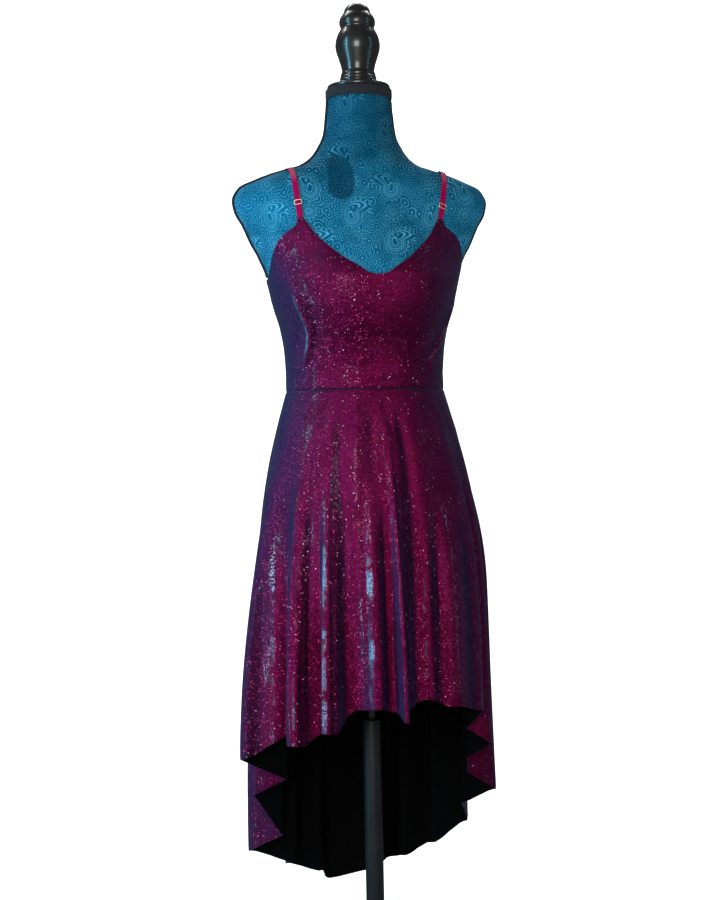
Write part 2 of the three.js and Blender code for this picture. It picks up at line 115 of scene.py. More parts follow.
# The bodice's upper edge from the middle of the front, 0 degrees, to the middle of the back
TOP_EDGE = Table(["angle", "height"], [
    [0, 166], [5, 168], [10, 177], [17.5, 191], [24, 208], [29.5, 228], [32.4, 246],
    [33.3, 254], [36.7, 254], [38, 247], [41, 240], [48, 231], [54, 221], [60, 210],
    [66, 198], [72, 187], [80, 176], [90, 171], [105, 173], [120, 184], [138, 200],
    [146, 208], [148.8, 212], [152.4, 212], [156, 206], [166, 200], [180, 198],
])

# How far the skirt flares from the waist
FLARE = Table(["drop", "side", "front", "back"], [
    [0, 0, 0, 0], [54, 15, 14, 17], [113, 29, 27, 33], [182, 40, 38, 48], [239, 45.5, 46, 57],
    [308, 49.5, 53, 64], [402, 53, 60, 72], [494, 55.5, 65, 78], [561, 57, 68, 82],
    [704, 59, 71, 90], [810, 59, 72, 93],
])

# Folds of the skirt, counted round from the wearer's right: angle at the waist and at the hem, how
# far it stands out, the drops where it starts and is full, and the drop of the hem there
FOLDS = np.array([
    [-90, -88, -45, 170, 560, 590], [-72, -77, 36, 30, 540, 548], [-56, -55.5, -15, 50, 500, 506],
    [-47, -48.5, 19, 40, 500, 517], [-40, -42, 8, 150, 500, 518], [-34, -35.5, -15, 130, 480, 499],
    [-31, -32, 13, 130, 480, 497], [-26, -26.5, 7, 170, 480, 499], [-17, -17.5, -13, 170, 450, 467],
    [-5, -5, 2, 150, 450, 464], [1.5, 2, -11, 90, 450, 471], [4.5, 5.5, 12, 90, 450, 484],
    [8, 9.5, -12, 90, 450, 469], [17, 20, -14, 150, 450, 457], [29, 33, -1, 80, 450, 470],
    [39, 54.5, 10, 0, 260, 483], [47, 62.5, -26, 0, 480, 517], [60, 74, 8, 0, 300, 545],
    [78, 86, -28, 60, 540, 570], [90, 92, -27, 120, 560, 598], [96, 98, 25, 0, 300, 632],
    [107, 110, -14, 60, 620, 655], [119, 122, 24, 40, 600, 698], [131, 133, -17, 60, 640, 730],
    [140, 142, 22, 40, 640, 742], [150, 151.5, -18, 60, 660, 756], [159, 161, 22, 40, 680, 769],
    [169, 171, -19, 60, 700, 780], [189, 190, 26, 40, 700, 801], [202, 203, -21, 60, 680, 772],
    [213, 213.5, 25, 40, 660, 763], [223, 223, -25, 60, 640, 748], [238, 239, 32, 40, 620, 723],
    [248, 248.5, -36, 120, 600, 688], [260, 260, 5, 60, 560, 618],
], float)
# Folds of the front panel, and the drop at which folds have spread to their angles at the hem
FRONT_FOLDS = 19
FAN_DROP = 450
# How far the skirt's creases reach out or in, and how far in just below the waist
CREASE_LIMIT = 6.5
WAIST_CREASE_LIMIT = 1.2
WAIST_CREASE_DROP = 12
# Share of a fold between two panels at a side seam, and the width of a fold for that seam's dip
SIDE_SEAM_CUT = 0.008
FOLD_GIRTH = 25

# Share of a crease's run in which it fades out at each end
CREASE_FADE = 0.3
# How much the height and the slope of a crease count for the light on it
LIGHT_FROM_HEIGHT = 0.10
LIGHT_FROM_SLOPE = 1.3

# Creases of the bodice: half width, height of the ridge (a trough is below zero), and its run as
# angle and height. The first lines are the two long ones that pass the bust on each side.
BODICE_CREASES = [
    (6.0, 3.2, [(-55, 176), (-52, 130), (-47, 83), (-49, 62), (-55, 36), (-58, 16)]),
    (9.0, -1.7, [(-66, 180), (-63, 130), (-58, 84), (-62, 40)]),
    (6.0, -0.8, [(-44, 150), (-41, 96), (-43, 60)]),
    (4.0, 2.9, [(67, 152), (66, 129), (61, 91), (50, 62), (45, 40), (46, 8)]),
    (7.0, -1.5, [(74, 150), (72, 118), (67, 84), (57, 54)]),
    (1.8, -0.8, [(-27, 77), (-8, 77), (12, 75), (30, 75), (46, 73)]),
    (2.6, 0.8, [(-31, 74), (-33, 62), (-35, 46)]),
    (3.0, 0.9, [(2, 30), (3, 18), (3, 8)]),
    (5.0, -0.9, [(58, 120), (53, 84), (43, 52)]),
    (3.0, 0.9, [(34, 250), (31.5, 232), (29, 214)]),
    (3.0, 0.8, [(-35, 250), (-33, 233), (-31, 216)]),
    (5.5, -0.8, [(42, 228), (46, 206), (52, 186)]),
    (5.5, -0.8, [(-42, 228), (-47, 207), (-53, 188)]),
    (6.5, -0.9, [(-84, 34), (-66, 22), (-48, 26)]),
    (5.0, 0.7, [(-82, 46), (-68, 34), (-54, 36)]),
    (6.5, -0.9, [(83, 30), (66, 20), (52, 23)]),
    (5.5, 0.6, [(-22, 26), (-8, 18), (9, 21), (24, 30)]),
    (6.0, -0.6, [(-30, 40), (-12, 34), (6, 38)]),
    (7.5, -0.7, [(-12, 140), (0, 131), (13, 139)]),
    (7.0, 0.6, [(-20, 108), (-4, 98), (12, 101)]),
    (8.0, -1.3, [(118, 46), (150, 36), (180, 40), (208, 34), (240, 48)]),
    (6.0, 1.0, [(124, 60), (152, 50), (182, 55), (206, 49), (232, 62)]),
    (7.5, -1.0, [(112, 80), (140, 68), (168, 73)]),
    (6.5, -0.8, [(196, 72), (222, 70), (248, 82)]),
    (5.5, 0.9, [(104, 160), (112, 128), (120, 96)]),
    (6.5, -0.9, [(98, 156), (106, 122), (113, 92)]),
    (5.5, 0.9, [(257, 158), (248, 124), (240, 92)]),
    (6.5, -0.9, [(263, 152), (254, 120), (247, 94)]),
    (5.0, 0.7, [(150, 206), (156, 180), (166, 158)]),
    (5.0, 0.7, [(210, 206), (205, 182), (196, 160)]),
]

# Creases of the skirt, as angle at the waist and height, which is the drop below zero
SKIRT_CREASES = [
    (5.0, -0.9, [(-78, -6), (-74, -34), (-72, -80)]),
    (6.0, 0.9, [(-48, -4), (-50, -36), (-51, -84)]),
    (5.0, -0.8, [(-33, -4), (-35, -30), (-36, -64)]),
    (4.5, 0.7, [(-14, -3), (-15, -26), (-15, -52)]),
    (5.5, -0.7, [(3, -4), (4, -34), (5, -70)]),
    (6.0, 1.3, [(37, -2), (43, -40), (48, -96), (51, -170)]),
    (5.0, -1.1, [(45, -2), (51, -38), (56, -92), (59, -160)]),
    (5.0, 1.0, [(57, -2), (63, -34), (67, -84)]),
    (6.0, -0.9, [(104, -4), (107, -40), (109, -90)]),
    (6.0, 0.9, [(122, -4), (123, -36), (124, -76)]),
    (6.5, -0.9, [(147, -4), (149, -44), (150, -96)]),
    (6.0, 0.8, [(171, -4), (171, -34), (172, -70)]),
    (6.5, -0.9, [(196, -4), (197, -42), (198, -92)]),
    (6.0, 0.9, [(221, -4), (222, -38), (223, -78)]),
    (6.0, -0.9, [(246, -4), (247, -44), (248, -98)]),
    (6.0, -1.6, [(-24.5, -30), (-24.5, -100), (-24, -200)]),
    (7.0, 1.6, [(-14.5, -20), (-14.5, -100), (-14, -200)]),
    (6.0, -1.2, [(-6, -20), (-6, -80), (-6, -160)]),
    (6.0, 1.5, [(2.5, -20), (3, -90), (3.5, -200)]),
    (6.5, -2.0, [(12, -20), (12.5, -100), (12.5, -220)]),
    (4.5, -4.6, [(-67, -220), (-66.5, -400), (-66, -760)]),
    (4.0, 3.6, [(-61, -200), (-61.5, -400), (-62, -760)]),
    (2.8, 2.6, [(-43, -300), (-43.5, -450), (-44, -760)]),
    (4.5, -5.8, [(-38.5, -120), (-38.5, -300), (-38.5, -760)]),
    (4.0, 3.6, [(-30, -80), (-29, -300), (-29, -760)]),
    (6.0, -5.8, [(-21.5, -100), (-21.5, -300), (-21.5, -760)]),
    (2.6, 1.6, [(-14, -170), (-13, -300), (-12, -420)]),
    (6.0, 4.6, [(-8, -90), (-7.5, -300), (-7, -760)]),
    (3.0, -2.4, [(-1.5, -130), (-1.5, -300), (-1.5, -760)]),
    (2.8, 2.4, [(3.6, -60), (4.2, -300), (5, -760)]),
    (6.5, -5.8, [(12.5, -90), (12.5, -300), (12.5, -760)]),
    (4.5, 1.8, [(19, -140), (19, -300), (19, -760)]),
    (4.5, -3.4, [(24.5, -150), (24.5, -300), (24.5, -760)]),
    (6.0, 4.8, [(30.5, -120), (31, -300), (31, -760)]),
    (3.5, -3.4, [(36, -150), (36, -300), (36, -760)]),
    (8.0, 1.0, [(114, -280), (116, -380), (118, -500)]),
    (8.0, -0.9, [(155, -300), (156, -430), (157, -560)]),
    (8.0, 0.9, [(179, -320), (180, -450), (181, -600)]),
    (8.0, -0.9, [(231, -300), (232, -420), (233, -550)]),
]

# Straps: the side, how far out they cross the shoulder and how high the slider sits
STRAPS = {"right": (-1, 114, 24), "left": (1, 124, 20)}
# How far out a strap starts in front and ends at the back
STRAP_FRONT_REACH = 106
STRAP_BACK_REACH = 80
# Straps are laid on the form round a level axis through the shoulders
SHOULDER_AXIS = 200
ROUTE_POINTS = 241
STRAP_WIDTH = 8.5
STRAP_THICKNESS = 1
SLIDER_WIDTH = 12
SLIDER_LENGTH = 8
SLIDER_WIRE = 1
SLIDER_CORNER = 1.4
# How far the strap rises over the slider's middle bar, and how long the rise and its slope are
STRAP_RISE = 2.6
STRAP_RISE_REACH = 2.85
STRAP_RISE_SLOPE = 2.2
SLIDER_LIFT = FORM_CLEARANCE + STRAP_THICKNESS + SEAM_GAP

# Side seam braid: piece, heights with their number of points, lift, and a knot's three sizes
SIDE_BRAIDS = [
    ("form_side_braid", [(177, 262, 40), (264, 344, 90), (348, 444, 30)], 1.7, (6.2, 3.8, 4.2)),
    ("form_side_braid_low", [(-248, 170, 110)], 0.5, (4.0, 3.6, 1.4)),
]

# Turned outlines, as radius and height, from the axis at the bottom to the top
FINIAL_OUTLINE = [
    [0, 469.9], [32, 469.9], [32, 472.6], [28.6, 474.4], [28.6, 475.6], [29.6, 476.9], [28, 478.4],
    [28, 480], [28.8, 481.6], [27, 483.4], [27, 485], [27.4, 486.6], [24.8, 491], [26.6, 501],
    [30.8, 514], [34, 524], [34.8, 531], [34, 539], [31.4, 547.4], [26.8, 555.4], [25.4, 558.8],
    [27.4, 562], [28.2, 567], [27.2, 572.4], [24.4, 577.6], [20.8, 581.4], [19.6, 587.4],
    [15, 593.2], [8, 596.7], [0, 597.6],
]
NECK_DISC_OUTLINE = [[0, 462.9], [48.5, 462.9], [48.5, 469.6], [0, 469.6]]
NECK_BRAID_BOTTOM, NECK_BRAID_TOP = 446, 462.4
NECK_BRAID_ROWS = (451.6, 454.6, 457.7, 460.7)
NECK_BRAID_COLUMNS = 144
ZIGZAG_POINTS = 68
ROD_OUTLINE = [[0, -505], [7, -505], [7, -250.3], [0, -250.3]]
POLE_OUTLINE = [[0, 34.3], [14, 34.3], [14, 514.7], [0, 514.7]]
BASE_OUTLINE = [
    [0, 0], [178, 0], [180, 2], [180, 8], [177.5, 11], [172, 12.5], [44, 18], [30, 21],
    [27, 30], [23, 34], [0, 34],
]


def ease(share):
    return (1 - np.cos(np.pi * np.clip(share, 0, 1))) / 2


def form_section(height, margin):
    parts = [FORM.at(name, height) for name in ("half", "front", "back")]
    return [part + margin for part in parts] + [FORM.at("square", height)]


def section_point(section, angle, height):
    """Points on a level section at an angle from the front, which grows to the wearer's left."""
    half, front, back, square = section
    across, ahead = np.sin(np.radians(angle)), np.cos(np.radians(angle))
    scale = (np.abs(across) ** square + np.abs(ahead) ** square) ** (-1 / square)
    depth = np.where(ahead > 0, front, back)
    return np.stack(np.broadcast_arrays(half * scale * across, -depth * scale * ahead, height), -1)


def form_point(angle, height, margin):
    return section_point(form_section(height, margin), angle, height)


def top_height(angle):
    angle = np.abs(np.asarray(angle, float))
    return TOP_EDGE.at("height", np.where(angle > 180, 360 - angle, angle))


def fold_values(number):
    turns = np.floor_divide(number, len(FOLDS))
    rows = FOLDS[number - turns * len(FOLDS)]
    return rows[..., 0] + 360 * turns, rows[..., 1] + 360 * turns, *np.moveaxis(rows, -1, 0)[2:]


def hem_drop(place):
    i = np.floor(place).astype(int)
    here, there = fold_values(i)[5], fold_values(i + 1)[5]
    return here + (there - here) * ease(place - i)


def skirt_point(place, drop):
    """Outer points of the skirt at a place along its folds and a drop below the waist."""
    i = np.floor(place).astype(int)
    share = place - i
    fan = 1 - (1 - np.clip(drop / FAN_DROP, 0, 1)) ** 3
    angles, outs = [], []
    for waist, hem, out, start, full, _ in (fold_values(i), fold_values(i + 1)):
        angles.append(waist + (hem - waist) * fan)
        outs.append(out * ease((drop - start) / (full - start)))
    half, front, back, square = form_section(0, FORM_CLEARANCE + CLOTH)
    section = [
        half + FLARE.at("side", drop),
        front + FLARE.at("front", drop),
        back + FLARE.at("back", drop),
        square + (2 - square) * np.clip(drop / FAN_DROP, 0, 1),
    ]
    point = section_point(section, angles[0] + (angles[1] - angles[0]) * share, -drop)
    reach = np.hypot(point[..., 0], point[..., 1])
    grown = 1 + (outs[0] + (outs[1] - outs[0]) * ease(share)) / reach
    point[..., :2] *= grown[..., None]
    return point


def waist_angle(place):
    i = np.floor(place).astype(int)
    here, there = fold_values(i)[0], fold_values(i + 1)[0]
    return here + (there - here) * (place - i)


def crease_height(creases, angle, height, girth):
    """Sum of soft troughs and ridges, each fading out over its last parts."""
    total = np.zeros(np.broadcast(angle, height).shape)
    spots = np.stack(np.broadcast_arrays(angle * girth, height), -1)
    for width, depth, run in creases:
        line = np.array(run, float) * [girth, 1]
        steps = np.diff(line, axis=0)
        lengths = np.hypot(*steps.T)
        starts = np.concatenate([[0], np.cumsum(lengths)])
        nearest = np.full(total.shape, 1e9)
        travelled = np.zeros(total.shape)
        for start, step, length, before in zip(line[:-1], steps, lengths, starts):
            share = np.clip(((spots - start) @ step) / length**2, 0, 1)
            away = np.hypot(*np.moveaxis(spots - start - share[..., None] * step, -1, 0))
            closer = away < nearest
            nearest = np.where(closer, away, nearest)
            travelled = np.where(closer, before + share * length, travelled)
        along = travelled / starts[-1]
        fade = ease(along / CREASE_FADE) * ease((1 - along) / CREASE_FADE)
        total += depth * fade * np.exp(-((nearest / width) ** 2))
    return total


def swell(across, down, seed):
    """A gentle unevenness of the cloth, in shares of one, from a few long waves."""
    chance = np.random.default_rng(seed)
    total = 0
    for _ in range(7):
        rate = chance.uniform(0.006, 0.035, 2) * chance.choice([-1, 1], 2)
        total = total + np.sin(across * rate[0] * 2 + down * rate[1] * 0.5 + chance.uniform(0, 6.3))
    return total / 7


def outward(grid):
    """Unit normals of a grid of points, pointing away from the pole."""
    normal = np.cross(np.gradient(grid, axis=1), np.gradient(grid, axis=0))
    normal /= np.linalg.norm(normal, axis=-1, keepdims=True)
    level = grid * [1, 1, 0]
    return normal * np.sign(np.sum(normal * level, axis=-1, keepdims=True))


def lengths_on(grid):
    """Length along the rows from the middle column, and down the columns, in metres."""
    step = np.linalg.norm(np.diff(grid, axis=1), axis=-1)
    across = np.pad(np.cumsum(step, axis=1), ((0, 0), (1, 0)))
    across -= across[:, across.shape[1] // 2, None]
    step = np.linalg.norm(np.diff(grid, axis=0), axis=-1)
    down = np.pad(np.cumsum(step, axis=0), ((1, 0), (0, 0)))
    return np.stack([across, down], -1) * MM


def build_object(name, points, faces, finishes, finish_of=None, corners=None, sharp=35):
    """One mesh object from points in millimetres; corners are UVs in metres, one for each loop."""
    mesh = bpy.data.meshes.new(name)
    mesh.from_pydata((np.asarray(points) * MM).tolist(), [], [list(face) for face in faces])
    for finish in finishes:
        mesh.materials.append(finish)
    if finish_of is not None:
        mesh.polygons.foreach_set("material_index", np.asarray(finish_of, np.int32))
    mesh.polygons.foreach_set("use_smooth", [True] * len(mesh.polygons))
    if corners is not None:
        layer = mesh.uv_layers.new(name="cloth")
        layer.uv.foreach_set("vector", np.asarray(corners, np.float32).ravel())
    mesh.set_sharp_from_angle(angle=math.radians(sharp))
    mesh.update()
    obj = bpy.data.objects.new(name, mesh)
    bpy.context.scene.collection.objects.link(obj)
    return obj


def signed_volume(points, quads):
    a, b, c, d = (points[quads[:, i]] for i in range(4))
    return np.sum(a * np.cross(b, c)) + np.sum(a * np.cross(c, d))


def fold_light(creases, length_grid):
    """Where creased cloth catches the light, above zero, or lies in shade, below it."""
    slope = np.gradient(creases, axis=1) / np.gradient(length_grid[..., 0] / MM, axis=1)
    return np.clip(creases * LIGHT_FROM_HEIGHT + slope * LIGHT_FROM_SLOPE, -1, 1)


def cloth_wall(name, outer, inner, length_grid, finishes, light):
    """A closed shell between two grids: right side, wrong side and a raw edge all round."""
    rows, columns = outer.shape[:2]
    index = np.arange(rows * columns).reshape(rows, columns)
    under = index + rows * columns

    def cells(grid):
        corners = [grid[:-1, :-1], grid[:-1, 1:], grid[1:, 1:], grid[1:, :-1]]
        return np.stack([c.ravel() for c in corners], -1)

    def strip(path, wall):
        return np.stack([path[:-1], path[1:], wall[1:], wall[:-1]], -1)

    edge = np.concatenate([
        strip(index[-1], under[-1]),
        strip(index[0][::-1], under[0][::-1]),
        strip(index[:, 0], under[:, 0]),
        strip(index[:, -1][::-1], under[:, -1][::-1]),
    ])
    quads = np.concatenate([cells(index)[:, ::-1], cells(under), edge[:, ::-1]])
    points = np.concatenate([outer.reshape(-1, 3), inner.reshape(-1, 3)])
    if signed_volume(points, quads) < 0:
        quads = quads[:, ::-1]
    cell_count = (rows - 1) * (columns - 1)
    finish_of = np.repeat([0, 1, 0], [cell_count, cell_count, len(edge)])
    flat = np.concatenate([length_grid.reshape(-1, 2)] * 2)
    obj = build_object(name, points, quads, finishes, finish_of, flat[quads].reshape(-1, 2), 50)
    # Painted light and shade of the folds, which the knit's colour reads
    attribute = obj.data.attributes.new("fold_light", "FLOAT", "POINT")
    attribute.data.foreach_set("value", np.tile(light.ravel(), 2))
    return obj


def rounded(outline, reaches):
    """An outline with its corners cut a little and cut again, until they are round."""
    points = np.array(outline, float)
    for reach in reaches:
        made = [points[0]]
        for before, here, after in zip(points, points[1:], points[2:]):
            for other in (before, after):
                gap = np.linalg.norm(other - here)
                made.append(here + (other - here) * min(0.3, reach / gap))
        points = np.array([*made, points[-1]])
    return points


def turned_object(name, outline, lift, finish, sides):
    """A closed turned body on the pole's axis."""
    outline = np.array(outline, float) + [0, lift]
    turn = np.linspace(0, 2 * np.pi, sides, endpoint=False)
    points = [[0, 0, outline[0][1]]]
    for radius, height in outline[1:-1]:
        ring = [radius * np.cos(turn), radius * np.sin(turn), 0 * turn + height]
        points += np.stack(ring, -1).tolist()
    points.append([0, 0, outline[-1][1]])
    faces, last = [], len(points) - 1
    top = last - sides
    for i in range(sides):
        after = (i + 1) % sides
        faces.append([0, 1 + after, 1 + i])
        for low in range(1, top, sides):
            high = low + sides
            faces.append([low + i, low + after, high + after, high + i])
        faces.append([top + i, top + after, last])
    return build_object(name, points, faces, [finish], sharp=40)


def tube(points, outs, profile, closed):
    """Points and faces of a profile swept along a path; each profile point is (across, out)."""
    points, outs = np.asarray(points, float), np.asarray(outs, float)
    if closed:
        run = np.roll(points, -1, 0) - np.roll(points, 1, 0)
    else:
        run = np.gradient(points, axis=0)
    run /= np.linalg.norm(run, axis=1, keepdims=True)
    across = np.cross(run, outs)
    across /= np.linalg.norm(across, axis=1, keepdims=True)
    outs = np.cross(across, run)
    profile = np.asarray(profile, float)
    if profile.ndim == 2:
        profile = np.broadcast_to(profile, (len(points), *profile.shape))
    made = points[:, None] + across[:, None] * profile[..., :1] + outs[:, None] * profile[..., 1:]
    count, sides = len(points), profile.shape[1]
    faces = []
    for i in range(count if closed else count - 1):
        here, there = i * sides, ((i + 1) % count) * sides
        for j in range(sides):
            k = (j + 1) % sides
            faces.append([here + j, here + k, there + k, there + j])
    if not closed:
        faces.append([*range(sides)][::-1])
        faces.append([(count - 1) * sides + j for j in range(sides)])
    return made.reshape(-1, 3), faces


def form_field(point):
    half, front, back, square = form_section(point[..., 2], 0)
    depth = np.where(point[..., 1] < 0, front, back)
    return (np.abs(point[..., 0]) / half) ** square + (np.abs(point[..., 1]) / depth) ** square - 1


def form_normal(point):
    step = np.eye(3) * 0.5
    normal = np.stack([form_field(point + s) - form_field(point - s) for s in step], -1)
    return normal / np.linalg.norm(normal, axis=-1, keepdims=True)


def shoulder_angle(reach, height, ahead):
    half, front, back, square = form_section(height, 0)
    share = (1 - (reach / half) ** square) ** (1 / square)
    angle = math.atan2(height - SHOULDER_AXIS, (front if ahead else back) * share)
    return angle if ahead else math.pi - angle


def strap_route(side, shoulder_reach):
    """Points on the form from a strap's front end over the shoulder to its back end."""
    front = shoulder_angle(STRAP_FRONT_REACH, top_height(35) + SEAM_GAP, True)
    back = shoulder_angle(STRAP_BACK_REACH, top_height(150) + SEAM_GAP, False)
    reaches = Table(["angle", "reach"], [
        [front, STRAP_FRONT_REACH], [math.pi / 2, shoulder_reach], [back, STRAP_BACK_REACH],
    ])
    angles = np.linspace(front, back, ROUTE_POINTS)
    x = side * reaches.at("reach", angles)
    ahead, up = -np.cos(angles), np.sin(angles)
    # Halving finds how far each ray from the axis runs inside the form
    low, high = np.zeros(ROUTE_POINTS), np.full(ROUTE_POINTS, 240.0)
    for _ in range(40):
        middle = (low + high) / 2
        within = form_field(np.stack([x, ahead * middle, SHOULDER_AXIS + up * middle], -1)) < 0
        low, high = np.where(within, middle, low), np.where(within, high, middle)
    return np.stack([x, ahead * low, SHOULDER_AXIS + up * low], -1)


def on_route(route, lengths):
    """Points and outward directions on a route at lengths from its front end."""
    travelled = np.concatenate([[0], np.cumsum(np.linalg.norm(np.diff(route, axis=0), axis=1))])
    points = np.stack([np.interp(lengths, travelled, route[:, i]) for i in range(3)], -1)
    return points, form_normal(points)


def operation(kind, reflected=False):
    """A method that adds one Math node to a material."""

    def add(self, *others):
        return self.finish.math(kind, *([*others, self] if reflected else [self, *others]))

    return add


class Value:
    """A shader socket in arithmetic: each operation on it adds its Math node."""

    def __init__(self, finish, socket):
        self.finish = finish
        self.socket = socket

    __add__ = __radd__ = operation("ADD")
    __sub__ = operation("SUBTRACT")
    __rsub__ = operation("SUBTRACT", reflected=True)
    __mul__ = __rmul__ = operation("MULTIPLY")
    __truediv__ = operation("DIVIDE")
    __rtruediv__ = operation("DIVIDE", reflected=True)
    __gt__ = operation("GREATER_THAN")
    __lt__ = operation("LESS_THAN")
    __abs__ = operation("ABSOLUTE")
    at_least = operation("MAXIMUM")
    at_most = operation("MINIMUM")
    sine = operation("SINE")
    cosine = operation("COSINE")
    root = operation("SQRT")
    power_of_e = operation("EXPONENT")
    floor = operation("FLOOR")
    fraction = operation("FRACT")
    modulo = operation("FLOORED_MODULO")
    turn_from = operation("ARCTAN2")

    def clamped(self):
        return self.at_least(0.0).at_most(1.0)


class Finish:
    """A material made node by node round one Principled shader."""

    def __init__(self, name, **values):
        self.material = bpy.data.materials.new(f"{name}_finish")
        self.material.use_nodes = True
        self.tree = self.material.node_tree
        self.shader = self.tree.nodes["Principled BSDF"]
        self.set(**values)

    def node(self, kind, settings=None, inputs=None, output=0):
        made = self.tree.nodes.new(kind)
        for key, value in (settings or {}).items():
            setattr(made, key, value)
        for key, value in (inputs or {}).items():
            self.feed(made.inputs[key], value)
        return Value(self, made.outputs[output])

    def feed(self, socket, value):
        if isinstance(value, Value):
            self.tree.links.new(value.socket, socket)
        else:
            socket.default_value = value

    def set(self, **values):
        """Feeds the shader's sockets, named in lower case with underscores."""
        for key, value in values.items():
            name = key.replace("_", " ").title().replace("Ior", "IOR")
            self.feed(self.shader.inputs[name], value)

    def math(self, kind, *values):
        return self.node("ShaderNodeMath", {"operation": kind}, dict(enumerate(values)))

    def vector_math(self, kind, *values):
        return self.node("ShaderNodeVectorMath", {"operation": kind}, dict(enumerate(values)))

    def uv(self):
        return self.node("ShaderNodeUVMap", {"uv_map": "cloth"})

    def place(self):
        return self.node("ShaderNodeTexCoord", output="Object")

    def parts(self, vector):
        split = self.node("ShaderNodeSeparateXYZ", inputs={0: vector}).socket.node
        return [Value(self, socket) for socket in split.outputs]

    def noise(self, vector, scale, detail, roughness=0.5):
        inputs = {"Vector": vector, "Scale": scale, "Detail": detail, "Roughness": roughness}
        return self.node("ShaderNodeTexNoise", inputs=inputs)

    def cells(self, vector, scale):
        """Distance to a cell's middle, the cell's three chance values, and these as a vector."""
        inputs = {"Vector": vector, "Scale": scale}
        distance = self.node("ShaderNodeTexVoronoi", {"voronoi_dimensions": "2D"}, inputs)
        colour = Value(self, distance.socket.node.outputs["Color"])
        split = self.node("ShaderNodeSeparateColor", inputs={0: colour}).socket.node
        return distance, [Value(self, socket) for socket in split.outputs], colour

    def blend(self, share, low, high):
        inputs = {0: share, 6: low, 7: high}
        return self.node("ShaderNodeMix", {"data_type": "RGBA"}, inputs, 2)

    def tones(self, share, colour, dark, light):
        """A colour between a darker and a lighter tone of it."""
        return self.blend(share, shade(colour, dark), shade(colour, light))

    def bump(self, height, strength, distance):
        inputs = {"Height": height, "Strength": strength, "Distance": distance}
        return self.node("ShaderNodeBump", inputs=inputs)

    def mix_shader(self, share, other):
        """Lets another shader show by a share over the first."""
        output = self.tree.nodes["Material Output"].inputs["Surface"]
        shown = self.node("ShaderNodeMixShader", inputs={0: share, 2: other})
        self.tree.links.new(self.shader.outputs[0], shown.socket.node.inputs[1])
        self.tree.links.new(shown.socket, output)


# Colours that stay the same whatever colour the knit has: painted shade in the seam and folds, star
# points and painted highlight streaks
SEAM_SHADE_COLOUR = (0.006, 0.001, 0.004, 1.0)
SHADE_COLOUR = (0.016, 0.0012, 0.011, 1.0)
STAR_COLOUR = (0.95, 0.60, 0.62, 1.0)
HIGHLIGHT_STREAK_COLOUR = (0.20, 0.48, 0.68, 1.0)

# Sizes of the fine patterns in metres; a course is a share of a wale's width
SEAM_LINE = 0.0016
LOOP_DEPTH = 0.0003
COURSE_SHARE = 1.15
RIB_PITCH, PICOT_PITCH, STRAP_EDGE = 0.0009, 0.0016, 0.0034
PAISLEY_WIDTH, PAISLEY_HEIGHT = 0.062, 0.088


def shade(colour, factor=1.0):
    return (*[channel * factor for channel in colour[:3]], 1.0)


def knit_relief(finish, uv, wale):
    """Height of a jersey's loops: narrow wales with slanted courses between them."""
    u, v, _ = finish.parts(uv)
    columns = (u * (2 * math.pi / wale)).sine()
    slant = abs((u * (math.pi / wale)).sine()) * 1.6
    rows = (v * (2 * math.pi / (wale * COURSE_SHARE)) + slant).sine()
    return abs(columns) * 0.7 + rows * 0.3


